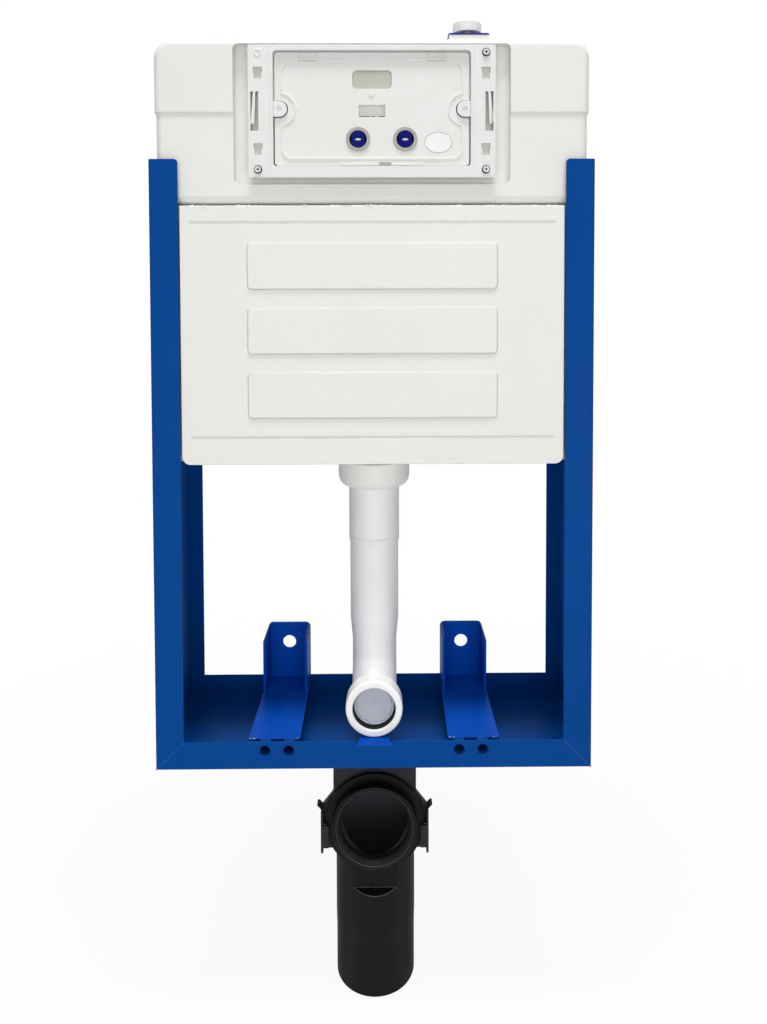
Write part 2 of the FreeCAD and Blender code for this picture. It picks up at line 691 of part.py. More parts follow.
def tank_body():
    tank = tank_outside().cut(tank_inside().cut(recess_sides(TANK_WALL)))
    tank = tank.cut(recess_sides(0))
    tank = join(tank, inlet_boss(0, INLET_PAD_TOP), rod_z(NECK_RADIUS, NECK_BOTTOM, TANK_BOTTOM, 0, FLUSH_Y))
    tank = tank.cut(rod_z(SPIGOT_RADIUS + SPIGOT_CLEARANCE, NECK_BOTTOM, TANK_INNER_FLOOR, 0, FLUSH_Y))
    tank = tank.cut(access_slab(0, 0, RECESS_FLOOR + TANK_WALL))
    tank = tank.cut(inlet_boss(TANK_WALL, INLET_PAD_BOTTOM))
    tank = tank.cut(rod_z(INLET_THREAD_RADIUS, INLET_PAD_BOTTOM, INLET_PAD_TOP, INLET_X, INLET_Y))
    for x, z in fixing_places():
        tank = tank.cut(rod_y(FIXING_HOLE / 2, RECESS_FLOOR, RECESS_FLOOR + TANK_WALL, x, z))
    return tank


def foam_bar(z0):
    """One raised bar on the foam's face, with sloping edges."""
    half = FOAM_BAR_LENGTH / 2
    face = FOAM_FRONT - FOAM_BAR_RISE
    bar = slab(-half, half, z0, z0 + FOAM_BAR_HEIGHT, FOAM_CORNER_RADIUS / 2, face, FOAM_FRONT)
    front_edges = [edge for edge in bar.Edges if edge.BoundBox.YMax < face + FOAM_BAR_RISE / 2]
    return bar.makeChamfer(FOAM_BAR_RISE * 0.6, front_edges)


def front_foam_panel():
    half = HALF - FLANGE - FOAM_GAP
    back = FOAM_FRONT + FOAM_THICKNESS
    foam = box(-half, half, FOAM_FRONT, back, TANK_BOTTOM, FOAM_TOP)
    foam = rounded(foam, FOAM_CORNER_RADIUS, (0, 1, 0), lambda point: point.z < FOAM_TOP - 1)
    foam = join(foam, *[foam_bar(TANK_BOTTOM + FOAM_BAR_LOWEST + i * FOAM_BAR_PITCH) for i in range(3)])
    half_groove = FOAM_GROOVE_LENGTH / 2
    for z in (TANK_BOTTOM + FOAM_GROOVE_LOW, FOAM_TOP - FOAM_GROOVE_INSET):
        foam = foam.cut(rod_x(FOAM_GROOVE_RADIUS, -half_groove, half_groove, FOAM_FRONT, z))
    return foam


# Mounting frame for the flush plate

def fixing_places():
    half_x = FIXING_SPACING_X / 2
    half_z = FIXING_SPACING_Z / 2
    return [(x, PLATE_Z + z) for x in (-half_x, half_x) for z in (-half_z, half_z)]


def keyhole(x, z_top):
    """A T-shaped slot: a wide head above a narrow neck."""
    head = box(x - KEYHOLE_WIDTH / 2, x + KEYHOLE_WIDTH / 2, 0, PLATE_WALL, z_top - KEYHOLE_HEIGHT / 2, z_top)
    neck = box(x - KEYHOLE_NECK / 2, x + KEYHOLE_NECK / 2, 0, PLATE_WALL, z_top - KEYHOLE_HEIGHT, z_top)
    return head.fuse(neck)


def spring_tongue(side):
    """The slanted spring tongue that stands in a side window of the plate frame."""
    outer = side * (PLATE_WIDTH / 2 - PLATE_WALL)
    inner = outer - side * TONGUE_WINDOW_WIDTH * 0.65
    top = PLATE_Z + TONGUE_WINDOW_HEIGHT / 2
    foot = PLATE_Z - TONGUE_WINDOW_HEIGHT / 2 + TONGUE_FOOT
    points = [(inner, top), (inner + side * PLATE_WALL, top), (outer, foot),
              (outer - side * PLATE_WALL * 1.6, foot)]
    return extruded_y(points, 0, PLATE_WALL)


def between(x_from, x_to, y0, y1, z0, z1):
    """A box between two X places given in either order."""
    return box(min(x_from, x_to), max(x_from, x_to), y0, y1, z0, z1)


def access_slab(extra, y0, y1):
    """The access opening's outline grown all round."""
    half_w = ACCESS_WIDTH / 2 + extra
    half_h = ACCESS_HEIGHT / 2 + extra
    radius = max(ACCESS_CORNER_RADIUS + extra, HOLLOW_CORNER_RADIUS)
    return slab(-half_w, half_w, ACCESS_Z - half_h, ACCESS_Z + half_h, radius, y0, y1)


def plate_shell():
    """The plate frame's box section, open at the back, with the access opening through it."""
    half_w = PLATE_WIDTH / 2
    half_h = PLATE_HEIGHT / 2
    wall = PLATE_WALL
    shell = slab(-half_w, half_w, PLATE_Z - half_h, PLATE_Z + half_h, wall, 0, RECESS_FLOOR)
    hollow = slab(-half_w + wall, half_w - wall, PLATE_Z - half_h + wall, PLATE_Z + half_h - wall,
                  HOLLOW_CORNER_RADIUS, wall, RECESS_FLOOR)
    shell = shell.cut(hollow.cut(access_slab(wall, wall, RECESS_FLOOR)))
    return shell.cut(access_slab(0, 0, RECESS_FLOOR))


def cover_ledge():
    """The ledge round the upper half of the access opening that the cover rests on."""
    front = COVER_BACK + COVER_SEAT_GAP
    back = front + PLATE_WALL
    ledge = access_slab(0, front, back).cut(access_slab(-COVER_LEDGE, front, back))
    upper = box(-ACCESS_WIDTH, ACCESS_WIDTH, front, back, ACCESS_Z, ACCESS_Z + ACCESS_HEIGHT)
    return ledge.common(upper)


def plate_frame():
    """A frame of box section open at the back, which stands on the floor of the cistern's recess."""
    wall = PLATE_WALL
    frame = plate_shell().fuse(cover_ledge())
    for side in (-1, 1):
        x = side * EAR_SPACING / 2
        ear = rod_y(EAR_RADIUS, wall, RECESS_FLOOR, x, ACCESS_Z)
        web = between(x, side * ACCESS_WIDTH / 2, wall, RECESS_FLOOR, ACCESS_Z - EAR_RADIUS,
                      ACCESS_Z + EAR_RADIUS)
        frame = frame.fuse(ear).fuse(web).cut(rod_y(EAR_HOLE / 2, 0, RECESS_FLOOR, x, ACCESS_Z))
    for x, z in fixing_places():
        frame = frame.fuse(rod_y(FIXING_HOLE, wall, RECESS_FLOOR, x, z))
        frame = frame.cut(rod_y(FIXING_HOLE / 2, 0, RECESS_FLOOR, x, z))
    for side in (-1, 1):
        for z in (PLATE_Z + KEYHOLE_SPACING_Z / 2, PLATE_Z - KEYHOLE_SPACING_Z / 2 + KEYHOLE_HEIGHT):
            frame = frame.cut(keyhole(side * FIXING_SPACING_X / 2, z))
        edge = side * (PLATE_WIDTH / 2 - wall)
        window = edge - side * TONGUE_WINDOW_WIDTH
        frame = frame.cut(between(window, edge, 0, wall, PLATE_Z - TONGUE_WINDOW_HEIGHT / 2,
                                  PLATE_Z + TONGUE_WINDOW_HEIGHT / 2))
        frame = frame.fuse(spring_tongue(side))
    return frame.removeSplitter()


def cross_head_screw(x, z):
    """A cross-head screw through the plate frame into the cistern's wall."""
    head = rod_y(SCREW_HEAD_RADIUS, -SCREW_HEAD_HEIGHT, 0, x, z)
    rim = [edge for edge in head.Edges if edge.BoundBox.YMax < -SCREW_HEAD_HEIGHT / 2]
    head = head.makeFillet(SCREW_HEAD_HEIGHT * 0.45, rim)
    shank = rod_y(FIXING_HOLE / 2, 0, RECESS_FLOOR + TANK_WALL, x, z)
    long = CROSS_LENGTH / 2
    thin = CROSS_WIDTH / 2
    floor = -SCREW_HEAD_HEIGHT / 3
    cross = join(box(x - long, x + long, -SCREW_HEAD_HEIGHT, floor, z - thin, z + thin),
                 box(x - thin, x + thin, -SCREW_HEAD_HEIGHT, floor, z - long, z + long))
    return join(head, shank).cut(cross)


def plate_frame_screws():
    """The three cross-head screws; the fourth place, top left, stands empty."""
    return group(cross_head_screw(x, z) for x, z in fixing_places() if x > 0 or z < PLATE_Z)


# Access cover and push rods

def cover_outline(inset, y0, y1):
    """The cover's outline, with a round notch about each ear of the plate frame."""
    half_w = ACCESS_WIDTH / 2 - COVER_GAP - inset
    half_h = ACCESS_HEIGHT / 2 - COVER_GAP - inset
    plate = slab(-half_w, half_w, ACCESS_Z - half_h, ACCESS_Z + half_h, ACCESS_CORNER_RADIUS + inset, y0, y1)
    notch = EAR_RADIUS + COVER_GAP + inset
    for side in (-1, 1):
        x = side * EAR_SPACING / 2
        plate = plate.cut(rod_y(notch, y0, y1, x, ACCESS_Z))
        plate = plate.cut(between(x, side * ACCESS_WIDTH / 2, y0, y1, ACCESS_Z - notch, ACCESS_Z + notch))
    return plate


def access_cover():
    cover = cover_outline(0, COVER_FRONT, COVER_BACK)
    rib_front = COVER_FRONT - COVER_RIB_HEIGHT
    rib = cover_outline(COVER_RIB_INSET, rib_front, COVER_FRONT)
    rib = rib.cut(cover_outline(COVER_RIB_INSET + COVER_RIB, rib_front, COVER_FRONT))
    cover = cover.fuse(rib)
    cover = cover.cut(window_slab(0, WINDOW_RADIUS, COVER_FRONT, COVER_BACK))
    slot_z = TANK_BOTTOM + FINGER_SLOT_RISE
    half_w = FINGER_SLOT_WIDTH / 2
    half_h = FINGER_SLOT_HEIGHT / 2
    slot_back = COVER_FRONT + FINGER_SLOT_DEPTH
    out = POCKET_WALL
    cover = cover.fuse(box(-half_w - out, half_w + out, COVER_BACK, slot_back + out, slot_z - half_h - out,
                           slot_z + half_h + out))
    cover = cover.cut(box(-half_w, half_w, COVER_FRONT, slot_back, slot_z - half_h, slot_z + half_h))
    for x in ROD_X:
        cover = cover.cut(rod_y(GUIDE_RADIUS, COVER_FRONT, COVER_BACK, x, ROD_Z))
    for side in (-1, 1):
        cover = cover.cut(snap_window(side * SNAP_WINDOW_X))
    for x0, x1 in FOOT_TABS:
        foot_z = TANK_BOTTOM + FOOT_TAB_RISE
        tab = box(x0, x1, COVER_FRONT - FOOT_TAB_THICKNESS, COVER_FRONT, foot_z, foot_z + FOOT_TAB_HEIGHT)
        cover = cover.fuse(tab)
    return cover.removeSplitter()


def snap_window(x):
    """The shallow window in the cover's upper edge over one of its snap hooks."""
    half = SNAP_WINDOW_WIDTH / 2
    z = TANK_BOTTOM + SNAP_WINDOW_RISE
    return box(x - half, x + half, COVER_FRONT, COVER_FRONT + SNAP_WINDOW_DEPTH, z - SNAP_WINDOW_HEIGHT / 2,
               z + SNAP_WINDOW_HEIGHT / 2)


def window_slab(extra, radius, y0, y1):
    """The sight window's outline grown all round."""
    half_w = WINDOW_WIDTH / 2 + extra
    half_h = WINDOW_HEIGHT / 2 + extra
    z = TANK_BOTTOM + WINDOW_MID_RISE
    return slab(-half_w, half_w, z - half_h, z + half_h, radius, y0, y1)


def cover_window():
    """The pane that closes the cover's sight window from behind."""
    lip = window_slab(PANE_LIP, WINDOW_RADIUS, COVER_BACK, COVER_BACK + PANE_LIP)
    pane = window_slab(-BODY_GAP, WINDOW_RADIUS - BODY_GAP, PANE_FRONT, COVER_BACK)
    return join(lip, pane)


def rod_guide(x):
    """A flanged sleeve in the cover that a push rod slides in."""
    front = COVER_FRONT - GUIDE_FLANGE
    back = COVER_FRONT + GUIDE_LENGTH
    flange = rod_y(GUIDE_FLANGE_RADIUS, front, COVER_FRONT, x, ROD_Z)
    sleeve = rod_y(GUIDE_RADIUS, COVER_FRONT, back, x, ROD_Z)
    return join(flange, sleeve).cut(rod_y(GUIDE_BORE, front, back, x, ROD_Z))


def push_rod(x):
    """A flat-sided head in the guide and a thin shaft that ends just short of its rocker lever."""
    half = ROD_HEAD_WIDTH / 2
    back = ROD_FRONT + ROD_HEAD_LENGTH
    slot_back = ROD_FRONT + ROD_SLOT_DEPTH
    head = rod_y(ROD_HEAD_RADIUS, ROD_FRONT, back, x, ROD_Z)
    flats = box(x - half, x + half, ROD_FRONT, back, ROD_Z - ROD_HEAD_RADIUS, ROD_Z + ROD_HEAD_RADIUS)
    half_w = ROD_SLOT_WIDTH / 2
    half_h = ROD_SLOT_HEIGHT / 2
    slot = box(x - half_w, x + half_w, ROD_FRONT, slot_back, ROD_Z - half_h, ROD_Z + half_h)
    head = head.common(flats).cut(slot)
    tip = LEVER_PIVOT_Y - LEVER_THICKNESS / 2 - LEVER_PLAY
    return join(head, rod_y(ROD_SHAFT_RADIUS, slot_back, tip, x, ROD_Z))


# Flush mechanism

def rocker_bracket():
    """Two arms under the cistern's ceiling that hold the rockers' pin."""
    left = ROD_X[0] - ROCKER_BRACKET_SPREAD
    right = ROD_X[1] + ROCKER_BRACKET_SPREAD
    half = ROCKER_BRACKET_DEPTH / 2
    wall = ROCKER_BRACKET_WALL
    y0 = LEVER_PIVOT_Y - half
    y1 = LEVER_PIVOT_Y + half
    plate = box(left, right, y0, y1, TANK_CEILING - wall, TANK_CEILING)
    arms = [box(x, x + wall, y0, y1, PIVOT_Z - half, TANK_CEILING) for x in (left, right - wall)]
    return join(plate, *arms).cut(rod_x(LEVER_PIN_RADIUS, left, right, LEVER_PIVOT_Y, PIVOT_Z))


def rocker_pin():
    reach = ROCKER_BRACKET_SPREAD + ROCKER_PIN_OVERHANG
    return rod_x(LEVER_PIN_RADIUS, ROD_X[0] - reach, ROD_X[1] + reach, LEVER_PIVOT_Y, PIVOT_Z)


def rocker_lever(x, lift_x):
    """A bell crank: its hanging arm is pushed back by the rod, and its level arm lifts the valve's rod."""
    y = LEVER_PIVOT_Y
    half = LEVER_THICKNESS / 2
    half_hub = LEVER_HUB_LENGTH / 2
    half_pad = LEVER_PAD / 2
    half_fork = FORK_WIDTH / 2
    hub = rod_x(LEVER_HUB_RADIUS, x - half_hub, x + half_hub, y, PIVOT_Z)
    hanging = box(x - half, x + half, y - half, y + half, ROD_Z - half_pad, PIVOT_Z)
    pad = box(x - half_pad, x + half_pad, y - half, y + half, ROD_Z - half_pad, ROD_Z + half_pad)
    low = LEVER_PAD_TOP - LEVER_ARM_HEIGHT
    arm = box(x - half, x + half, y, FLUSH_Y + half_fork, low, LEVER_PAD_TOP)
    x0 = min(x - half, lift_x - half_fork)
    x1 = max(x + half, lift_x + half_fork)
    fork = box(x0, x1, FLUSH_Y - half_fork, FLUSH_Y + half_fork, low, LEVER_PAD_TOP)
    lever = join(hub, hanging, pad, arm, fork)
    slot = LIFT_ROD_RADIUS + FORK_CLEARANCE
    slot_front = FLUSH_Y - half_fork + FORK_BRIDGE
    lever = lever.cut(box(lift_x - slot, lift_x + slot, slot_front, FLUSH_Y + FORK_WIDTH, low, LEVER_PAD_TOP))
    return lever.cut(rod_x(LEVER_PIN_RADIUS + RUNNING_CLEARANCE, x - half_hub, x + half_hub, y, PIVOT_Z))


def valve_seat():
    """The flanged spigot that passes through the cistern's floor and its neck."""
    flange = rod_z(SEAT_FLANGE_RADIUS, TANK_INNER_FLOOR, SEAT_TOP, 0, FLUSH_Y)
    spigot = rod_z(SPIGOT_RADIUS, SPIGOT_BOTTOM, TANK_INNER_FLOOR, 0, FLUSH_Y)
    return join(flange, spigot).cut(rod_z(SEAT_BORE, SPIGOT_BOTTOM, SEAT_TOP, 0, FLUSH_Y))


def valve_basket():
    """The cage on the seat, with four windows and a collar that guides the overflow tube."""
    top = SEAT_TOP + BASKET_HEIGHT
    half = BASKET_WINDOW_WIDTH / 2
    cage = ring_z(BASKET_RADIUS, BASKET_RADIUS - BASKET_WALL, SEAT_TOP, top, 0, FLUSH_Y)
    for angle in (0, 90):
        window = box(-BASKET_RADIUS, BASKET_RADIUS, FLUSH_Y - half, FLUSH_Y + half,
                     SEAT_TOP + BASKET_WINDOW_LOW, SEAT_TOP + BASKET_WINDOW_HIGH)
        window.rotate(FreeCAD.Vector(0, FLUSH_Y, 0), FreeCAD.Vector(0, 0, 1), angle)
        cage = cage.cut(window)
    foot = ring_z(BASKET_RADIUS, SEAL_RADIUS + BASKET_FOOT, SEAT_TOP, SEAT_TOP + BASKET_FOOT, 0, FLUSH_Y)
    lid = ring_z(BASKET_RADIUS, OVERFLOW_RADIUS + BODY_GAP, top - BASKET_LID, top, 0, FLUSH_Y)
    return join(cage, foot, lid)


def lift_rod(x, root):
    """A thin rod with a collar on top that hangs over its rocker's fork."""
    rod = rod_z(LIFT_ROD_RADIUS, root, COLLAR_BOTTOM, x, FLUSH_Y)
    collar = rod_z(LIFT_COLLAR_RADIUS, COLLAR_BOTTOM, COLLAR_BOTTOM + LIFT_COLLAR_HEIGHT, x, FLUSH_Y)
    return rod.fuse(collar)


def full_lift_tube():
    """The overflow tube with the valve disc below and its lift rod above."""
    bottom = SEAT_TOP + BODY_GAP + SEAL_THICKNESS
    top = SEAT_TOP + OVERFLOW_HEIGHT
    bore = OVERFLOW_RADIUS - OVERFLOW_WALL
    tube = ring_z(OVERFLOW_RADIUS, bore, bottom, top, 0, FLUSH_Y)
    disc = ring_z(SEAL_RADIUS, bore, bottom, bottom + VALVE_DISC, 0, FLUSH_Y)
    root = top - LIFT_ROD_ROOT
    bridge = box(-OVERFLOW_RADIUS, OVERFLOW_RADIUS, FLUSH_Y - LIFT_ROD_RADIUS, FLUSH_Y + LIFT_ROD_RADIUS,
                 root, top)
    return join(tube, disc, bridge, lift_rod(FULL_LIFT_X, root))


def valve_seal():
    bottom = SEAT_TOP + BODY_GAP
    return ring_z(SEAL_RADIUS - 1, OVERFLOW_RADIUS - OVERFLOW_WALL, bottom, bottom + SEAL_THICKNESS, 0, FLUSH_Y)


def half_lift_float():
    """The sleeve on the overflow tube that closes the valve early, with its own lift rod."""
    bottom = SEAT_TOP + BASKET_HEIGHT + BODY_GAP
    top = bottom + HALF_FLOAT_HEIGHT
    inner = OVERFLOW_RADIUS + HALF_FLOAT_PLAY
    sleeve = ring_z(inner + HALF_FLOAT_WALL, inner, bottom, top, 0, FLUSH_Y)
    return join(sleeve, lift_rod(HALF_LIFT_X, top - LIFT_ROD_ROOT))


# Filling side

def inlet_nipple():
    """The threaded inlet through the cistern's boss, necked under its cap."""
    bottom = VALVE_DATUM - INLET_TAIL
    top = INLET_NECK_TOP + CAP_HEIGHT - CAP_ROOF
    low = rod_z(INLET_THREAD_RADIUS, bottom, GASKET_TOP, INLET_X, INLET_Y)
    neck = rod_z(INLET_NECK_RADIUS, GASKET_TOP, INLET_NECK_TOP, INLET_X, INLET_Y)
    high = rod_z(INLET_THREAD_RADIUS, INLET_NECK_TOP, top, INLET_X, INLET_Y)
    return join(low, neck, high).cut(rod_z(INLET_BORE, bottom, top, INLET_X, INLET_Y))


def inlet_gasket():
    half = GASKET_SIDE / 2
    plate = rounded(inlet_block(half, INLET_PAD_TOP, GASKET_TOP), GASKET_CORNER_RADIUS, (0, 0, 1))
    return plate.cut(rod_z(INLET_THREAD_RADIUS, INLET_PAD_TOP, GASKET_TOP, INLET_X, INLET_Y))


def inlet_locknut():
    bottom = INLET_PAD_BOTTOM - LOCKNUT_HEIGHT
    nut = hexagon_z(LOCKNUT_FLATS, bottom, INLET_PAD_BOTTOM, INLET_X, INLET_Y)
    return nut.cut(rod_z(INLET_THREAD_RADIUS, bottom, INLET_PAD_BOTTOM, INLET_X, INLET_Y))


def inlet_cap():
    """The dust cap on the inlet's thread."""
    top = INLET_NECK_TOP + CAP_HEIGHT
    cap = rod_z(CAP_RADIUS, INLET_NECK_TOP, top, INLET_X, INLET_Y)
    cap = cap.makeFillet(CAP_EDGE_RADIUS, [edge for edge in cap.Edges if edge.BoundBox.ZMin > top - CAP_ROOF])
    inner = INLET_THREAD_RADIUS + BODY_GAP
    return cap.cut(rod_z(inner, INLET_NECK_TOP, top - CAP_ROOF + BODY_GAP, INLET_X, INLET_Y))


def stop_valve_body():
    """The shut-off valve under the inlet, with a boss for its spindle."""
    body = rod_z(STOP_VALVE_RADIUS, STOP_VALVE_BOTTOM, STOP_VALVE_TOP, INLET_X, INLET_Y)
    body = join(body, rod_y(SPINDLE_BOSS_RADIUS, SPINDLE_BOSS_FRONT, INLET_Y, INLET_X, STOP_VALVE_Z))
    body = body.cut(rod_z(INLET_BORE, STOP_VALVE_BOTTOM, STOP_VALVE_TOP, INLET_X, INLET_Y))
    body = body.cut(rod_z(INLET_THREAD_RADIUS, VALVE_DATUM - INLET_TAIL, STOP_VALVE_TOP, INLET_X, INLET_Y))
    bore = SPINDLE_RADIUS + RUNNING_CLEARANCE
    return body.cut(rod_y(bore, SPINDLE_BOSS_FRONT, INLET_Y, INLET_X, STOP_VALVE_Z))


def stop_valve_knob():
    """The scalloped knob and the spindle that it turns."""
    back = SPINDLE_BOSS_FRONT - BODY_GAP
    front = back - KNOB_LENGTH
    grip = rod_y(KNOB_RADIUS, front, back, INLET_X, STOP_VALVE_Z)
    reach = KNOB_RADIUS + KNOB_NOTCH_OFFSET
    for i in range(KNOB_NOTCHES):
        angle = 2 * math.pi * (i + 0.5) / KNOB_NOTCHES
        x = INLET_X + reach * math.cos(angle)
        z = STOP_VALVE_Z + reach * math.sin(angle)
        grip = grip.cut(rod_y(KNOB_NOTCH_RADIUS, front, back, x, z))
    return join(grip, rod_y(SPINDLE_RADIUS, back, INLET_Y - INLET_BORE - BODY_GAP, INLET_X, STOP_VALVE_Z))


def supply_pipe():
    """The short bent pipe from the stop valve to the filling valve."""
    bend = SUPPLY_BEND_RADIUS
    turn_z = STOP_VALVE_BOTTOM - SUPPLY_DROP
    down = rod_z(SUPPLY_RADIUS, turn_z, STOP_VALVE_BOTTOM, INLET_X, INLET_Y)
    circle = Part.makeCircle(SUPPLY_RADIUS, FreeCAD.Vector(INLET_X, INLET_Y, turn_z), FreeCAD.Vector(0, 0, 1))
    centre = FreeCAD.Vector(INLET_X + bend, INLET_Y, turn_z)
    turn = Part.Face(Part.Wire(circle)).revolve(centre, FreeCAD.Vector(0, 1, 0), -90)
    across = rod_x(SUPPLY_RADIUS, INLET_X + bend, FILL_VALVE_X - FILL_VALVE_RADIUS, INLET_Y, turn_z - bend)
    return join(down, turn, across)



def valve_block(width, depth, z0, z1):
    """A block about the filling valve's axis."""
    x = FILL_VALVE_X
    return box(x - width / 2, x + width / 2, INLET_Y - depth / 2, INLET_Y + depth / 2, z0, z1)


def fill_valve_body():
    """The filling valve: a column with a stop flange below and two ears for the lever's pin above."""
    top = FILL_VALVE_TOP
    ear_top = top + FILL_EAR_HEIGHT
    column = rod_z(FILL_VALVE_RADIUS, FILL_VALVE_BOTTOM, top, FILL_VALVE_X, INLET_Y)
    stop = rod_z(FILL_VALVE_RADIUS + FILL_STOP_FLANGE, FILL_VALVE_BOTTOM, FILL_VALVE_BOTTOM + FILL_STOP_FLANGE,
                 FILL_VALVE_X, INLET_Y)
    ears = valve_block(FILL_EAR_WIDTH, FILL_EAR_DEPTH, top, ear_top)
    ears = ears.cut(valve_block(FILL_EAR_WIDTH, FILL_EAR_SLOT, top, ear_top))
    half_depth = FILL_EAR_DEPTH / 2
    hole = rod_y(FILL_PIN_RADIUS, INLET_Y - half_depth, INLET_Y + half_depth, FILL_VALVE_X, FILL_PIVOT_Z)
    return join(column, stop, ears).cut(hole)


def fill_valve_holder():
    """The hanger that holds the filling valve under the cistern's ceiling."""
    low = FILL_VALVE_TOP - HOLDER_COLLAR_BOTTOM
    post_back = INLET_Y + FILL_VALVE_RADIUS + HOLDER_STANDOFF
    half_post = HOLDER_POST_WIDTH / 2
    half_foot = HOLDER_FOOT_WIDTH / 2
    collar = ring_z(FILL_VALVE_RADIUS + HOLDER_WALL, FILL_VALVE_RADIUS, low, FILL_VALVE_TOP - HOLDER_COLLAR_TOP,
                    FILL_VALVE_X, INLET_Y)
    post = box(FILL_VALVE_X - half_post, FILL_VALVE_X + half_post, post_back - HOLDER_POST_DEPTH, post_back,
               low, TANK_CEILING)
    foot = box(FILL_VALVE_X - half_foot, FILL_VALVE_X + half_foot, post_back - HOLDER_FOOT_FRONT,
               post_back + HOLDER_FOOT_BACK, TANK_CEILING - HOLDER_WALL, TANK_CEILING)
    return join(collar, post, foot)


def fill_lever_pin():
    half = FILL_PIN_LENGTH / 2
    return rod_y(FILL_PIN_RADIUS, INLET_Y - half, INLET_Y + half, FILL_VALVE_X, FILL_PIVOT_Z)


def fill_valve_lever():
    """The lever that the float's rod lifts to close the filling valve."""
    z0 = FILL_PIVOT_Z - FILL_LEVER_HEIGHT / 2
    z1 = FILL_PIVOT_Z + FILL_LEVER_HEIGHT / 2
    y0 = INLET_Y - FILL_EAR_SLOT / 2 + BODY_GAP
    y1 = INLET_Y + FILL_EAR_SLOT / 2 - BODY_GAP
    end = FILL_VALVE_X + FLOAT_LEVER_REACH
    half_fork = FILL_FORK_WIDTH / 2
    half_slot = FILL_FORK_SLOT / 2
    bridge = end - FILL_FORK_HALF_LENGTH
    hub = rod_y(FILL_LEVER_HUB_RADIUS, y0, y1, FILL_VALVE_X, FILL_PIVOT_Z)
    arm = box(FILL_VALVE_X, bridge, y0, y1, z0, z1)
    fork = box(bridge - half_slot / 2, end + FILL_FORK_HALF_LENGTH, INLET_Y - half_fork, INLET_Y + half_fork,
               z0, z1)
    slot = box(bridge + 1, end + half_fork, INLET_Y - half_slot, INLET_Y + half_slot, z0, z1)
    pin_hole = rod_y(FILL_PIN_RADIUS + RUNNING_CLEARANCE, y0, y1, FILL_VALVE_X, FILL_PIVOT_Z)
    return join(hub, arm, fork).cut(slot).cut(pin_hole)


def fill_valve_float():
    """The float cup round the filling valve, with the rod that pushes the lever."""
    inner = FILL_VALVE_RADIUS + BODY_GAP
    cup = ring_z(FLOAT_RADIUS, inner, FLOAT_BOTTOM, FLOAT_TOP, FILL_VALVE_X, INLET_Y)
    cup = cup.cut(ring_z(FLOAT_RADIUS - FLOAT_WALL, inner + FLOAT_WALL, FLOAT_BOTTOM + FLOAT_WALL, FLOAT_TOP,
                         FILL_VALVE_X, INLET_Y))
    x = FILL_VALVE_X + FLOAT_LEVER_REACH
    half = FLOAT_TONGUE_WIDTH / 2
    tongue = box(FILL_VALVE_X + FLOAT_RADIUS - FLOAT_WALL, x + FLOAT_ROD_RADIUS, INLET_Y - half, INLET_Y + half,
                 FLOAT_TOP - FLOAT_TONGUE_BOTTOM, FLOAT_TOP - FLOAT_TONGUE_TOP)
    rod_top = FILL_PIVOT_Z + FLOAT_ROD_OVERRUN
    rod = rod_z(FLOAT_ROD_RADIUS, FLOAT_TOP - FLOAT_TONGUE_BOTTOM + 1, rod_top, x, INLET_Y)
    collar_top = FILL_PIVOT_Z - FILL_LEVER_HEIGHT / 2 - BODY_GAP
    collar = rod_z(FLOAT_COLLAR_RADIUS, collar_top - FLOAT_COLLAR_HEIGHT, collar_top, x, INLET_Y)
    return join(cup, tongue, rod, collar)


# Flush pipe

def outlet_seal():
    return ring_z(NECK_RADIUS, SPIGOT_RADIUS, NUT_SEAT, NECK_BOTTOM, 0, FLUSH_Y)


def outlet_nut():
    """The round nut below the neck: a skirt round the neck, and a bowl that holds the flush pipe's flange."""
    shoulder = SPIGOT_BOTTOM - NUT_SHOULDER
    bore = PIPE_RADIUS + SPIGOT_CLEARANCE
    knee = NUT_TOP - NUT_RIM_HEIGHT
    lip = bore + NUT_LIP
    bowl = []
    for degrees in range(0, 90, 15):
        angle = math.radians(degrees)
        bowl.append((lip + (NUT_RADIUS - lip) * math.cos(angle), knee - (knee - NUT_BOTTOM) * math.sin(angle)))
    skirt = NECK_RADIUS + SPIGOT_CLEARANCE
    inside = [(bore, NUT_BOTTOM), (bore, shoulder), (SPIGOT_RADIUS, shoulder), (SPIGOT_RADIUS, NUT_SEAT),
              (skirt, NUT_SEAT), (skirt, NUT_TOP)]
    profile = [(NUT_RADIUS, NUT_TOP), *bowl, (lip, NUT_BOTTOM), *inside]
    return turned(profile, 0, FLUSH_Y)


def flush_pipe():
    """The straight upper pipe: a flange in the nut, and a reduced end that goes into the bend's socket."""
    end = JOINT_Z - INSERT_LENGTH
    step = JOINT_Z + PIPE_WALL
    insert_radius = SOCKET_RADIUS - PIPE_WALL
    flange = rod_z(SPIGOT_RADIUS - SPIGOT_CLEARANCE, SPIGOT_BOTTOM - NUT_SHOULDER, SPIGOT_BOTTOM, 0, FLUSH_Y)
    tube = rod_z(PIPE_RADIUS, JOINT_Z, SPIGOT_BOTTOM, 0, FLUSH_Y)
    insert = rod_z(insert_radius, end, JOINT_Z, 0, FLUSH_Y)
    pipe = join(flange, tube, insert)
    pipe = pipe.cut(rod_z(PIPE_RADIUS - PIPE_WALL, step, SPIGOT_BOTTOM, 0, FLUSH_Y))
    pipe = pipe.cut(rod_z(insert_radius - PIPE_WALL, end, step, 0, FLUSH_Y))
    groove = JOINT_Z + PIPE_END_BAND
    bottom = PIPE_RADIUS - PIPE_END_GROOVE
    return pipe.cut(ring_z(PIPE_RADIUS, bottom, groove, groove + 2 * PIPE_END_GROOVE, 0, FLUSH_Y))


def ring_groove():
    """The groove inside the bend's socket that holds the pipe's sealing ring."""
    inner = SOCKET_RADIUS - PIPE_WALL
    low = JOINT_Z - RING_GROOVE_BOTTOM
    return ring_z(inner + PIPE_WALL / 2, inner, low, JOINT_Z - RING_GROOVE_TOP, 0, FLUSH_Y)


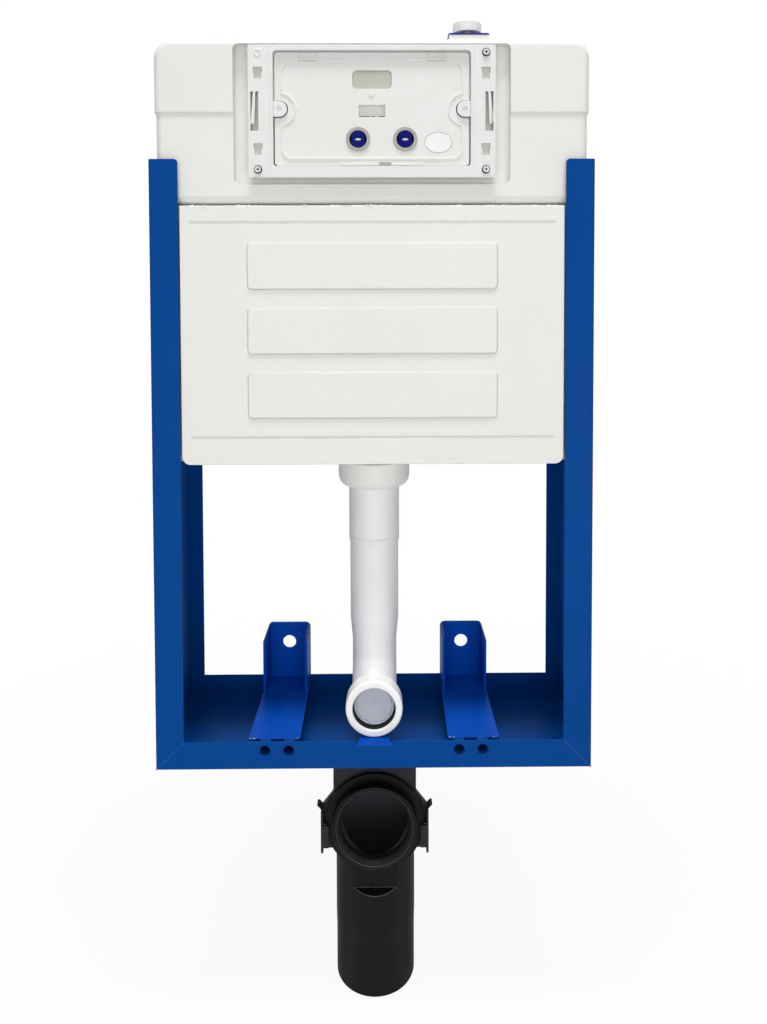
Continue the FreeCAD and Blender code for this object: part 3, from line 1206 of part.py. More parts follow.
def pipe_o_ring():
    return ring_groove()


def flush_bend_solid(grow):
    """The bend's tube: socket, cone, straight, quarter turn and mouth stub, grown all round."""
    cone = cone_z(BEND_TUBE_RADIUS + grow, SOCKET_RADIUS + grow, CONE_BOTTOM, CONE_TOP, 0, FLUSH_Y)
    socket = rod_z(SOCKET_RADIUS + grow, CONE_TOP, JOINT_Z, 0, FLUSH_Y)
    turn_z = MOUTH_Z + BEND_RADIUS_FLUSH
    straight = rod_z(BEND_TUBE_RADIUS + grow, turn_z, CONE_BOTTOM, 0, FLUSH_Y)
    radius = BEND_TUBE_RADIUS + grow
    circle = Part.makeCircle(radius, FreeCAD.Vector(0, FLUSH_Y, turn_z), FreeCAD.Vector(0, 0, 1))
    turn_y = FLUSH_Y - BEND_RADIUS_FLUSH
    turn = Part.Face(Part.Wire(circle)).revolve(FreeCAD.Vector(0, turn_y, turn_z), FreeCAD.Vector(1, 0, 0), -90)
    stub = rod_y(BEND_TUBE_RADIUS + grow, MOUTH_FRONT, turn_y, 0, MOUTH_Z)
    return join(cone, socket, straight, turn, stub)


def flush_bend():
    """The bend with its thick mouth, bored out by the same tube less its wall."""
    mouth = rod_y(MOUTH_RADIUS, MOUTH_FRONT, MOUTH_FRONT + MOUTH_LENGTH, 0, MOUTH_Z)
    lip = [edge for edge in mouth.Edges if edge.BoundBox.YMax < MOUTH_FRONT + MOUTH_LIP_RADIUS]
    mouth = mouth.makeFillet(MOUTH_LIP_RADIUS, lip)
    seal_front = MOUTH_FRONT + MOUTH_SEAL_SETBACK
    bend = join(flush_bend_solid(0), mouth).cut(flush_bend_solid(-PIPE_WALL)).cut(ring_groove())
    bend = bend.cut(rod_y(MOUTH_OPENING_RADIUS, MOUTH_FRONT, seal_front, 0, MOUTH_Z))
    return bend.cut(rod_y(MOUTH_SEAL_RADIUS, seal_front, seal_front + MOUTH_SEAL_LENGTH, 0, MOUTH_Z))


def flush_bend_seal():
    """The lipped rubber sleeve in the bend's mouth."""
    front = MOUTH_FRONT + MOUTH_SEAL_SETBACK
    sleeve = ring_y(MOUTH_SEAL_RADIUS, CONNECTOR_RADIUS, front, front + MOUTH_SEAL_LENGTH, 0, MOUTH_Z)
    lead = cone_y(MOUTH_OPENING_RADIUS, CONNECTOR_RADIUS, front, front + MOUTH_SEAL_LEAD, 0, MOUTH_Z)
    return sleeve.cut(lead)


def bend_plug():
    """The protective plug inside the mouth: a shallow cone with a rim that sits in the seal."""
    front = MOUTH_FRONT + PLUG_RECESS
    radius = CONNECTOR_RADIUS - PLUG_CLEARANCE
    body = rod_y(radius, front, front + PLUG_LENGTH, 0, MOUTH_Z)
    dish = cone_y(radius - PLUG_WALL, radius * 0.15, front, front + PLUG_DISH, 0, MOUTH_Z)
    hollow = rod_y(radius - PLUG_WALL, front + PLUG_DISH + PLUG_WALL, front + PLUG_LENGTH, 0, MOUTH_Z)
    return body.cut(dish).cut(hollow)


# Drain

def drain_bend_solid(radius, front, end):
    """A tight bend: a level socket and an upright pipe with a round heel between them."""
    level = rod_y(radius, front, DRAIN_PIPE_Y, 0, DRAIN_Z)
    upright = rod_z(radius, end, DRAIN_Z, 0, DRAIN_PIPE_Y)
    ball = Part.makeSphere(radius, FreeCAD.Vector(0, DRAIN_PIPE_Y, DRAIN_Z))
    heel = box(-2 * radius, 2 * radius, DRAIN_PIPE_Y, DRAIN_PIPE_Y + 2 * radius, DRAIN_Z, DRAIN_Z + 2 * radius)
    return join(level, upright, ball.common(heel))


def drain_flat(extra):
    """What the flat takes off the upright pipe's front, down to a sloping ledge, set back by a wall inside."""
    back = DRAIN_PIPE_Y - DRAIN_RADIUS + PIPE_FLAT_DEPTH + extra
    top = DRAIN_Z - DRAIN_RADIUS + extra / 2
    low = PIPE_FLAT_BOTTOM - extra
    points = [(0, top), (back, top), (back, low), (0, low - PIPE_LEDGE_SLOPE * back)]
    return extruded_x(points, -DRAIN_RADIUS, DRAIN_RADIUS)


def drain_spigot_skin():
    """What is taken off round the pipe's plain end, which runs out in a long taper."""
    top = DRAIN_END + DRAIN_SPIGOT_LENGTH
    out = DRAIN_FLANGE_RADIUS
    profile = [(DRAIN_SPIGOT_RADIUS, DRAIN_END), (out, DRAIN_END), (out, top + DRAIN_SPIGOT_TAPER),
               (DRAIN_RADIUS, top + DRAIN_SPIGOT_TAPER), (DRAIN_SPIGOT_RADIUS, top)]
    return turned(profile, 0, DRAIN_PIPE_Y)


def drain_bend():
    """The bend with its rim, its holding flange and the flat that is moulded into its front below the mouth."""
    front = DRAIN_MOUTH_FRONT
    rim = rod_y(DRAIN_RIM_RADIUS, front, front + DRAIN_RIM_LENGTH, 0, DRAIN_Z)
    lip = [edge for edge in rim.Edges if edge.BoundBox.YMax < front + DRAIN_LIP_RADIUS]
    rim = rim.makeFillet(DRAIN_LIP_RADIUS, lip)
    flange = rod_y(DRAIN_FLANGE_RADIUS, DRAIN_FLANGE_FRONT, DRAIN_FLANGE_BACK, 0, DRAIN_Z)
    outer = drain_bend_solid(DRAIN_RADIUS, front + DRAIN_RIM_LENGTH / 2, DRAIN_END)
    outer = outer.cut(drain_spigot_skin()).cut(drain_flat(0))
    inner = drain_bend_solid(DRAIN_RADIUS - DRAIN_WALL, front, DRAIN_END).cut(drain_flat(DRAIN_WALL))
    return outer.fuse(rim).fuse(flange).cut(inner)


def drain_seal():
    """The lipped ring inside the drain's mouth."""
    front = DRAIN_MOUTH_FRONT + DRAIN_SEAL_SETBACK
    outer = DRAIN_RADIUS - DRAIN_WALL
    ring = ring_y(outer, DRAIN_SEAL_RADIUS, front, front + DRAIN_SEAL_LENGTH, 0, DRAIN_Z)
    lead_radius = DRAIN_SEAL_RADIUS + DRAIN_WALL - BODY_GAP
    return ring.cut(cone_y(lead_radius, DRAIN_SEAL_RADIUS, front, front + DRAIN_SEAL_LEAD, 0, DRAIN_Z))


def clip_half():
    """The left half of the clip plate's outline, from the rail down to the arm's foot."""
    half = CLIP_BLOCK_WIDTH / 2
    inner = -DRAIN_RADIUS - 1
    return [(0, RAIL_BOTTOM), (-half, RAIL_BOTTOM), (-half, CLIP_SHOULDER_Z), (CLIP_ARM_OUT, CLIP_ARM_TOP),
            (CLIP_ARM_OUT, CLIP_ARM_BOTTOM), (inner, CLIP_ARM_BOTTOM), (inner, DRAIN_Z), (0, DRAIN_Z)]


def clip_arm():
    """The left arm: a springy strip along the flange's edge, hooked over its face, with a finger lip on top."""
    out = CLIP_ARM_OUT
    front = DRAIN_FLANGE_FRONT - CLIP_HOOK - BODY_GAP
    back = DRAIN_FLANGE_BACK + CLIP_PLATE
    strip = box(out, out + CLIP_ARM, front, back, CLIP_ARM_BOTTOM, CLIP_ARM_TOP)
    bite = -DRAIN_FLANGE_RADIUS + CLIP_HOOK_BITE
    hook = box(out, bite, front, front + CLIP_HOOK, CLIP_HOOK_LOW, CLIP_HOOK_HIGH)
    hook = hook.cut(rod_y(DRAIN_RIM_RADIUS + BODY_GAP, 0, back, 0, DRAIN_Z))
    lip_top = CLIP_ARM_TOP + CLIP_LIP_RISE
    lip = [(out, CLIP_ARM_TOP), (out + CLIP_ARM, CLIP_ARM_TOP), (out + CLIP_ARM - CLIP_LIP_FLARE, lip_top),
           (out - CLIP_LIP_FLARE, lip_top)]
    return join(strip, hook, extruded_y(lip, front + CLIP_HOOK, back))


def drain_bracket():
    """The plastic clip under the rail that holds the drain bend by its flange."""
    front = DRAIN_FLANGE_BACK
    back = front + CLIP_PLATE
    plate = extruded_y(clip_half(), front, back)
    plate = plate.cut(box(-CLIP_ARM_X, -DRAIN_FLANGE_RADIUS + 1, front, back, CLIP_SLIT_BOTTOM, CLIP_SLIT_TOP))
    outer_foot = lambda point: point.x < CLIP_ARM_OUT + 0.1 and point.z < CLIP_ARM_BOTTOM + 0.1
    half = rounded(join(plate, clip_arm()), CLIP_CORNER_RADIUS, (0, 1, 0), outer_foot)
    whole = join(half, mirrored(half)).cut(rod_y(DRAIN_RADIUS, front, back, 0, DRAIN_Z))
    width = CLIP_BLOCK_WIDTH / 2
    whole = join(whole, box(-width, width, front, CLIP_BLOCK_BACK, RAIL_BOTTOM - CLIP_TOP, RAIL_BOTTOM))
    for x in (-CLIP_SCREW_X, CLIP_SCREW_X):
        whole = whole.cut(rod_z(CLIP_SCREW_RADIUS, RAIL_BOTTOM - CLIP_TOP, RAIL_BOTTOM, x, CLIP_SCREW_Y))
    return whole


def bracket_screws():
    """The two washer-head screws that hold the clip under the rail."""
    low = RAIL_BOTTOM - CLIP_TOP
    screws = []
    for x in (-CLIP_SCREW_X, CLIP_SCREW_X):
        head = hexagon_z(CLIP_SCREW_FLATS, low - CLIP_SCREW_HEAD, low, x, CLIP_SCREW_Y)
        washer = rod_z(2 * CLIP_SCREW_RADIUS, low - CLIP_SCREW_WASHER, low, x, CLIP_SCREW_Y)
        shank = rod_z(CLIP_SCREW_RADIUS, low, RAIL_BOTTOM + SHEET + CLIP_SCREW_TIP, x, CLIP_SCREW_Y)
        screws.append(join(head, washer, shank))
    return group(screws)


NODES = {
    "post_left": post_left,
    "post_right": lambda: mirrored(post_left()),
    "bottom_rail": bottom_rail,
    "stud_nuts": stud_nuts,
    "anchor_bracket_left": anchor_bracket_left,
    "anchor_bracket_right": lambda: mirrored(anchor_bracket_left()),
    "tank_shelf_left": tank_shelf_left,
    "tank_shelf_right": lambda: mirrored(tank_shelf_left()),
    "tank_body": tank_body,
    "front_foam_panel": front_foam_panel,
    "plate_frame": plate_frame,
    "plate_frame_screws": plate_frame_screws,
    "access_cover": access_cover,
    "cover_window": cover_window,
    "rod_guide_left": lambda: rod_guide(ROD_X[0]),
    "rod_guide_right": lambda: rod_guide(ROD_X[1]),
    "push_rod_left": lambda: push_rod(ROD_X[0]),
    "push_rod_right": lambda: push_rod(ROD_X[1]),
    "rocker_bracket": rocker_bracket,
    "rocker_pin": rocker_pin,
    "rocker_lever_left": lambda: rocker_lever(ROD_X[0], LIFT_X[0]),
    "rocker_lever_right": lambda: rocker_lever(ROD_X[1], LIFT_X[1]),
    "valve_seat": valve_seat,
    "valve_basket": valve_basket,
    "full_lift_tube": full_lift_tube,
    "valve_seal": valve_seal,
    "half_lift_float": half_lift_float,
    "inlet_nipple": inlet_nipple,
    "inlet_gasket": inlet_gasket,
    "inlet_locknut": inlet_locknut,
    "inlet_cap": inlet_cap,
    "stop_valve_body": stop_valve_body,
    "stop_valve_knob": stop_valve_knob,
    "supply_pipe": supply_pipe,
    "fill_valve_body": fill_valve_body,
    "fill_valve_holder": fill_valve_holder,
    "fill_lever_pin": fill_lever_pin,
    "fill_valve_lever": fill_valve_lever,
    "fill_valve_float": fill_valve_float,
    "outlet_seal": outlet_seal,
    "outlet_nut": outlet_nut,
    "flush_pipe": flush_pipe,
    "pipe_o_ring": pipe_o_ring,
    "flush_bend": flush_bend,
    "flush_bend_seal": flush_bend_seal,
    "bend_plug": bend_plug,
    "drain_bend": drain_bend,
    "drain_seal": drain_seal,
    "drain_bracket": drain_bracket,
    "bracket_screws": bracket_screws,
}


def main():
    os.makedirs("parts", exist_ok=True)
    for name, make in NODES.items():
        shape = make()
        shape.exportStep(f"parts/{name}.step")
        state = "valid" if shape.isValid() else "NOT VALID"
        print(name, len(shape.Solids), "solids", round(shape.Volume), "mm3", state)


main()
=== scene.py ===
"""Looks for a concealed cistern frame: painted steel, moulded cistern, bead foam, plastic pipes and clips.

Sizes are in millimetres in the frame of the solids: X across, Y back to the wall, Z up from the stud holes.
"""

import logging
import math
import random
from dataclasses import dataclass, field
from enum import Enum
from typing import Callable, Iterable, Sequence

import bmesh
import bpy
from mathutils import Matrix, Vector


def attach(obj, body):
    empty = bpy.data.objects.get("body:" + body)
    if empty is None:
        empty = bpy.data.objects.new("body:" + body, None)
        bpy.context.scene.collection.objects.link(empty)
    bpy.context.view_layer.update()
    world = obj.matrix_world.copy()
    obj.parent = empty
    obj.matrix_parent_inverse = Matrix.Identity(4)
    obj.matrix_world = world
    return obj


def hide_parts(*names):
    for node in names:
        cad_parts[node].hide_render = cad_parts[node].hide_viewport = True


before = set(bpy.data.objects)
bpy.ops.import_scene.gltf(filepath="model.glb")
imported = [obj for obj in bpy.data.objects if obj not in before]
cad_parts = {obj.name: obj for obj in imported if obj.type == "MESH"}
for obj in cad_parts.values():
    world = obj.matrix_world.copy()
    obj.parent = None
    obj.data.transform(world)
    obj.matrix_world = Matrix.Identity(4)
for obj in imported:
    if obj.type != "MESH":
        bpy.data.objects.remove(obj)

Point = tuple[float, float, float]
Colour = tuple[float, float, float]
Pair = tuple[float, float]
Radius = float | Callable[[float], float]
Inputs = dict[str | int, object]
BMesh = bmesh.types.BMesh
Output = bpy.types.NodeSocket

MM = 0.001
TURN = 2 * math.pi
LOG = logging.getLogger("cistern frame")


class Body(Enum):
    """The moving bodies of the solids."""

    FRAME = "frame"
    COVER = "access_cover"
    ROD_LEFT = "push_rod_left"
    ROD_RIGHT = "push_rod_right"
    ROCKER_LEFT = "rocker_left"
    ROCKER_RIGHT = "rocker_right"
    FULL_LIFT = "full_lift"
    HALF_LIFT = "half_lift"
    FLOAT = "float"
    FLOAT_LEVER = "float_lever"
    KNOB = "stop_valve_knob"
    CAP = "inlet_cap"
    PLUG = "bend_plug"


class Axis(Enum):
    """The direction of the line that a shape or a thread goes round."""

    Y = "y"
    Z = "z"


class Socket(Enum):
    """The kinds of socket that a shared group has."""

    VALUE = "NodeSocketFloat"
    COLOUR = "NodeSocketColor"
    VECTOR = "NodeSocketVector"


class Wiring:
    """Adds nodes to a tree, sets their inputs and links them."""

    def __init__(self, tree: bpy.types.NodeTree) -> None:
        """Keep the tree."""
        self.tree = tree

    def feed(self, node: bpy.types.Node, inputs: Inputs) -> None:
        """Set inputs to their values, and link those that are given a socket.

        Args:
            node: the node.
            inputs: a value or an output socket for each input, by name or number.
        """
        for label, value in inputs.items():
            if isinstance(value, Output):
                self.tree.links.new(value, node.inputs[label])
            else:
                node.inputs[label].default_value = value

    def add(self, kind: str, inputs: Inputs, out: str | int = 0, **settings: object) -> Output:
        """Add a node.

        Args:
            kind: the node's type, less the ShaderNode that it starts with.
            inputs: a value or an output socket for each input, by name or number.
            out: the wanted output, by name or number.
            **settings: the node's other settings.

        Returns:
            The wanted output.
        """
        node = self.tree.nodes.new(f"ShaderNode{kind}")
        for label, value in settings.items():
            setattr(node, label, value)
        self.feed(node, inputs)
        return node.outputs[out]

    def place(self) -> Output:
        """Give each point's place on the object."""
        return self.add("TexCoord", {}, "Object")

    def spread(self, value: Output, low: float, high: float) -> Output:
        """Widen a band of a value to the whole range from 0 to 1.

        Args:
            value: the value.
            low: what becomes 0.
            high: what becomes 1.

        Returns:
            The widened value.
        """
        return self.add("MapRange", {"Value": value, "From Min": low, "From Max": high})

    def product(self, *values: Output) -> Output:
        """Multiply two values."""
        return self.add("Math", dict(enumerate(values)), operation="MULTIPLY")


class SharedGroup:
    """A shader group that several finishes share, built once and placed in each material."""

    name: str
    output: tuple[str, Socket]
    inputs: dict[str, tuple[Socket, object]]

    def placed(self, wires: Wiring, **values: object) -> Output:
        """Place the group in a material.

        Args:
            wires: the material's wiring.
            **values: the value of each named input.

        Returns:
            The group's output.
        """
        made = bpy.data.node_groups.get(self.name) or self._built()
        return wires.add("Group", values, node_tree=made)

    def _built(self) -> bpy.types.NodeTree:
        """Build the group with its sockets.

        Returns:
            The new node tree.
        """
        tree = bpy.data.node_groups.new(self.name, "ShaderNodeTree")
        for label, (kind, value) in self.inputs.items():
            socket = tree.interface.new_socket(name=label, in_out="INPUT", socket_type=kind.value)
            socket.default_value = value
        label, kind = self.output
        tree.interface.new_socket(name=label, in_out="OUTPUT", socket_type=kind.value)
        start, end = tree.nodes.new("NodeGroupInput"), tree.nodes.new("NodeGroupOutput")
        wires = Wiring(tree)
        wires.feed(end, {label: self._inside(wires, start.outputs)})
        return tree

    def _inside(self, wires: Wiring, given: Sequence[Output]) -> Output:
        """Wire what the group does.

        Args:
            wires: the group's wiring.
            given: the sockets of its named inputs.

        Returns:
            The socket that the group puts out.
        """
        raise NotImplementedError


class Mottle(SharedGroup):
    """Soft drifting between two near colours."""

    name = "soft mottle"
    output = ("Color", Socket.COLOUR)
    inputs = {"Base": (Socket.COLOUR, (1, 1, 1, 1)), "Shade": (Socket.COLOUR, (0, 0, 0, 1)),
              "Scale": (Socket.VALUE, 12.0), "Amount": (Socket.VALUE, 0.5)}

    def _inside(self, wires: Wiring, given: Sequence[Output]) -> Output:
        """Mix the two colours by a soft cloud.

        Args:
            wires: the group's wiring.
            given: the sockets of its named inputs.

        Returns:
            The mixed colour.
        """
        cloud = wires.add("TexNoise", {"Vector": wires.place(), "Scale": given["Scale"], "Detail": 4.0})
        share = wires.product(wires.spread(cloud, 0.34, 0.66), given["Amount"])
        return wires.add("MixRGB", {"Fac": share, "Color1": given["Base"], "Color2": given["Shade"]})


class Grain(SharedGroup):
    """Fine skin of a moulded or coated surface, with a slower wave under it."""

    name = "surface grain"
    output = ("Height", Socket.VALUE)
    inputs = {"Scale": (Socket.VALUE, 900.0), "Wave": (Socket.VALUE, 40.0),
              "Stretch": (Socket.VECTOR, (1, 1, 1))}

    def _inside(self, wires: Wiring, given: Sequence[Output]) -> Output:
        """Lay the fine grain over the wave.

        Args:
            wires: the group's wiring.
            given: the sockets of its named inputs.

        Returns:
            The height.
        """
        place = wires.add("VectorMath", {0: wires.place(), 1: given["Stretch"]}, operation="MULTIPLY")
        fine = wires.add("TexNoise", {"Vector": place, "Scale": given["Scale"], "Detail": 2.0})
        slow = wires.add("TexNoise", {"Vector": place, "Scale": given["Wave"], "Detail": 1.0})
        return wires.add("Math", {0: slow, 1: 2.5, 2: fine}, operation="MULTIPLY_ADD")


class Dust(SharedGroup):
    """Sparse specks and faint rubbed patches: 0 for clean and 1 for a full speck."""

    name = "dust specks"
    output = ("Mask", Socket.VALUE)
    inputs = {"Scale": (Socket.VALUE, 260.0), "Cover": (Socket.VALUE, 0.3)}

    def _inside(self, wires: Wiring, given: Sequence[Output]) -> Output:
        """Keep the specks that lie in a patch.

        Args:
            wires: the group's wiring.
            given: the sockets of its named inputs.

        Returns:
            The mask.
        """
        place = wires.place()
        specks = wires.add("TexNoise", {"Vector": place, "Scale": given["Scale"], "Detail": 5.0})
        patches = wires.add("TexNoise", {"Vector": place, "Scale": 9.0})
        both = wires.product(wires.spread(specks, 0.58, 0.72), wires.spread(patches, 0.42, 0.68))
        return wires.product(both, given["Cover"])


@dataclass(frozen=True)
class Finish:
    """A coated, moulded or rubber surface: two near colours, a fine grain and a little dust."""

    name: str
    slot: str
    base: Colour
    shade: Colour
    dirt: Colour = (0.30, 0.27, 0.22)
    roughness: float = 0.45
    rough_spread: float = 0.08
    metallic: float = 0.0
    coat: float = 0.0
    coat_roughness: float = 0.1
    specular: float = 0.5
    mottle_scale: float = 11.0
    mottle_amount: float = 0.6
    grain_scale: float = 900.0
    grain_wave: float = 45.0
    grain_depth: float = 0.012
    stretch: Point = (1.0, 1.0, 1.0)
    dust_scale: float = 260.0
    dust_cover: float = 0.15

    def material(self) -> bpy.types.Material:
        """Make the material, or hand out the one made before.

        Returns:
            The material with its node tree.
        """
        made = bpy.data.materials.get(self.name)
        if made is None:
            made = bpy.data.materials.new(self.name)
            made.use_nodes = True
            made.diffuse_color = (*self.base, 1.0)
            self._wire(Wiring(made.node_tree))
        return made

    def _wire(self, wires: Wiring) -> None:
        """Wire colour, roughness and bump to the shader.

        Args:
            wires: the material's wiring.
        """
        shader = wires.tree.nodes["Principled BSDF"]
        clean = Mottle().placed(wires, Base=(*self.base, 1), Shade=(*self.shade, 1), Scale=self.mottle_scale,
                                Amount=self.mottle_amount)
        dust = Dust().placed(wires, Scale=self.dust_scale, Cover=self.dust_cover)
        dirty = wires.add("MixRGB", {"Fac": dust, "Color1": clean, "Color2": (*self.dirt, 1)})
        wires.feed(shader, {
            "Base Color": dirty, "Metallic": self.metallic, "Coat Weight": self.coat,
            "Coat Roughness": self.coat_roughness, "Specular IOR Level": self.specular,
            "Roughness": self._rub(wires, dust)})
        self._relief(wires, shader)

    def _rub(self, wires: Wiring, dust: Output) -> Output:
        """Let roughness drift over the surface and rise under dust.

        Args:
            wires: the material's wiring.
            dust: where dust lies.

        Returns:
            The roughness.
        """
        cloud = wires.add("TexNoise", {"Vector": wires.place(), "Scale": self.mottle_scale * 2.3})
        low, high = self.roughness - self.rough_spread / 2, self.roughness + self.rough_spread / 2
        drift = wires.add("MapRange", {"Value": cloud, "From Min": 0.3, "From Max": 0.7,
                                       "To Min": low, "To Max": high})
        return wires.add("Math", {0: dust, 1: 0.3, 2: drift}, operation="MULTIPLY_ADD", use_clamp=True)

    def _relief(self, wires: Wiring, shader: bpy.types.Node) -> None:
        """Wire the fine grain to the normal.

        Args:
            wires: the material's wiring.
            shader: its Principled BSDF.
        """
        grain = Grain().placed(wires, Scale=self.grain_scale, Wave=self.grain_wave, Stretch=self.stretch)
        bump = wires.add("Bump", {"Distance": self.grain_depth * MM, "Height": grain})
        wires.feed(shader, {"Normal": bump})


@dataclass(frozen=True)
class BeadFoam(Finish):
    """Moulded bead foam: flattened cells with fine seams between them."""

    bead_scale: float = 330.0
    bead_depth: float = 0.014
    seam_width: float = 0.22
    seam: Colour = (0.770, 0.764, 0.735)

    def _relief(self, wires: Wiring, shader: bpy.types.Node) -> None:
        """Wire the beads and their seams to the normal and the colour.

        Args:
            wires: the material's wiring.
            shader: its Principled BSDF.
        """
        beads = wires.add("TexVoronoi", {"Vector": wires.place(), "Scale": self.bead_scale}, "Distance",
                          feature="DISTANCE_TO_EDGE")
        crown = wires.add("MapRange", {"Value": beads, "From Max": self.seam_width},
                          interpolation_type="SMOOTHSTEP")
        bump = wires.add("Bump", {"Distance": self.bead_depth * MM, "Height": crown})
        clean = shader.inputs["Base Color"].links[0].from_socket
        seams = wires.add("MixRGB", {"Fac": crown, "Color1": (*self.seam, 1), "Color2": clean})
        wires.feed(shader, {"Normal": bump, "Base Color": seams})


POWDER_COAT = Finish(
    "blue powder coat", "blue_steel", base=(0.0008, 0.060, 0.278), shade=(0.0008, 0.051, 0.240),
    dirt=(0.05, 0.14, 0.34), roughness=0.40, rough_spread=0.10, specular=0.04, mottle_scale=7.0,
    grain_scale=520.0, grain_wave=60.0, dust_cover=0.08)
# Painted light: a lighter copy of the frame's blue powder coat for the brackets, their front lips and the
# rest tab, standing in for the light from above on the legs.
LIT_POWDER_COAT = Finish(
    "powder coat with painted light", "blue_steel", base=(0.0006, 0.068, 0.440), shade=(0.0006, 0.058, 0.380),
    dirt=(0.04, 0.14, 0.42), roughness=0.36, rough_spread=0.10, specular=0.04, mottle_scale=7.0,
    grain_scale=520.0, grain_wave=60.0, dust_cover=0.05)
CHIP = Finish(
    "chipped coat", "blue_steel", base=(0.62, 0.68, 0.78), shade=(0.40, 0.48, 0.62), roughness=0.30,
    mottle_scale=600.0, grain_depth=0.02, dust_cover=0.10)
WELD = Finish(
    "coated weld", "blue_steel", base=(0.003, 0.075, 0.320), shade=(0.02, 0.12, 0.36),
    dirt=(0.30, 0.40, 0.55), roughness=0.34, specular=0.15, mottle_scale=160.0, grain_scale=700.0,
    grain_depth=0.04, dust_scale=420.0, dust_cover=0.45)
ZINC = Finish(
    "zinc plate", "zinc_steel", base=(0.55, 0.56, 0.58), shade=(0.40, 0.42, 0.46), metallic=1.0,
    roughness=0.33, mottle_scale=240.0, grain_scale=1500.0, grain_depth=0.006, dust_cover=0.25)
TANK = Finish(
    "blow-moulded polyethylene", "tank_plastic", base=(0.765, 0.765, 0.735), shade=(0.715, 0.718, 0.690),
    dirt=(0.46, 0.42, 0.33), roughness=0.46, rough_spread=0.12, mottle_scale=6.0, grain_scale=380.0,
    grain_wave=34.0, grain_depth=0.018, dust_scale=180.0, dust_cover=0.10)
FOAM = BeadFoam(
    "bead foam", "foam", base=(0.805, 0.802, 0.775), shade=(0.765, 0.760, 0.728), dirt=(0.52, 0.46, 0.35),
    roughness=0.62, mottle_scale=8.0, mottle_amount=0.75, dust_scale=150.0, dust_cover=0.14)
PLATE = Finish(
    "plate frame plastic", "plate_plastic", base=(0.745, 0.745, 0.733), shade=(0.715, 0.715, 0.698),
    dirt=(0.46, 0.40, 0.30), roughness=0.38, mottle_scale=22.0, grain_scale=1300.0, grain_depth=0.010,
    dust_scale=420.0, dust_cover=0.10)
# Painted shade: a darker grey-beige for the backs of the keyholes and side windows, standing in for the shade
# inside them.
POCKET_SHADE = Finish(
    "pocket plastic, painted shade", "plate_plastic", base=(0.560, 0.560, 0.525), shade=(0.500, 0.498, 0.460),
    dirt=(0.40, 0.35, 0.27), roughness=0.45, mottle_scale=30.0, grain_scale=1300.0, grain_depth=0.010,
    dust_scale=420.0, dust_cover=0.14)
COVER = Finish(
    "access cover plastic", "plate_plastic", base=(0.745, 0.745, 0.728), shade=(0.708, 0.705, 0.682),
    dirt=(0.42, 0.35, 0.25), roughness=0.40, mottle_scale=26.0, grain_scale=1300.0, dust_scale=520.0,
    dust_cover=0.16)
PANE = Finish(
    "sight pane", "window_plastic", base=(0.490, 0.492, 0.422), shade=(0.430, 0.430, 0.368), roughness=0.36,
    mottle_scale=60.0, dust_cover=0.35)
GUIDE = Finish(
    "grey rod guide", "guide_plastic", base=(0.400, 0.385, 0.350), shade=(0.340, 0.325, 0.295),
    roughness=0.34, specular=0.3, mottle_scale=90.0, dust_cover=0.12)
ROD = Finish(
    "blue rod plastic", "rod_plastic", base=(0.004, 0.010, 0.160), shade=(0.003, 0.007, 0.120),
    dirt=(0.10, 0.13, 0.38), roughness=0.30, specular=0.05, mottle_scale=120.0, grain_depth=0.004,
    dust_cover=0.04)
VALVE = Finish(
    "valve plastic", "valve_plastic", base=(0.66, 0.66, 0.63), shade=(0.60, 0.60, 0.57), roughness=0.42,
    mottle_scale=30.0, dust_cover=0.12)
FLOAT = Finish(
    "float plastic", "float_plastic", base=(0.50, 0.53, 0.57), shade=(0.44, 0.47, 0.51), roughness=0.44,
    mottle_scale=30.0, dust_cover=0.10)
PIPE = Finish(
    "flush pipe plastic", "pipe_plastic", base=(0.900, 0.900, 0.893), shade=(0.880, 0.880, 0.872),
    dirt=(0.55, 0.53, 0.49), roughness=0.30, rough_spread=0.04, specular=0.35, mottle_scale=9.0,
    grain_scale=420.0, grain_wave=30.0, grain_depth=0.0015, stretch=(1.0, 1.0, 0.25), dust_cover=0.04)
NUT = Finish(
    "outlet nut plastic", "nut_plastic", base=(0.890, 0.885, 0.845), shade=(0.845, 0.840, 0.800),
    roughness=0.40, mottle_scale=20.0, grain_scale=700.0, grain_depth=0.014, dust_cover=0.12)
PLUG = Finish(
    "plug plastic", "cap_plastic", base=(0.465, 0.500, 0.575), shade=(0.425, 0.458, 0.525), roughness=0.33,
    mottle_scale=30.0, grain_scale=1100.0, grain_depth=0.010, dust_cover=0.18)
CAP = Finish(
    "dust cap plastic", "cap_plastic", base=(0.760, 0.760, 0.745), shade=(0.700, 0.700, 0.685),
    roughness=0.40, mottle_scale=60.0, dust_cover=0.15)
DRAIN = Finish(
    "drain plastic", "black_plastic", base=(0.0036, 0.0039, 0.0041), shade=(0.0052, 0.0055, 0.0058),
    dirt=(0.05, 0.05, 0.05), roughness=0.34, rough_spread=0.06, specular=0.13, mottle_scale=9.0,
    grain_scale=460.0, grain_wave=26.0, grain_depth=0.005, stretch=(1.0, 1.0, 0.3), dust_cover=0.10)
# Painted light: a paler black for the inside of the drain's bore, where too little light reaches.
BORE_PAINTED_LIGHT = Finish(
    "drain bore, painted light", "black_plastic", base=(0.095, 0.097, 0.112), shade=(0.080, 0.082, 0.095),
    dirt=(0.08, 0.08, 0.08), roughness=0.30, specular=0.35, mottle_scale=9.0, grain_depth=0.005,
    dust_cover=0.10)
# Partly real, partly painted: the ledge's moulded lip, coloured a paler black as a painted highlight along
# its edge.
LIP_HIGHLIGHT = Finish(
    "drain lip, painted highlight", "black_plastic", base=(0.045, 0.047, 0.050), shade=(0.030, 0.032, 0.034),
    roughness=0.28, mottle_scale=60.0, grain_depth=0.004, dust_cover=0.10)
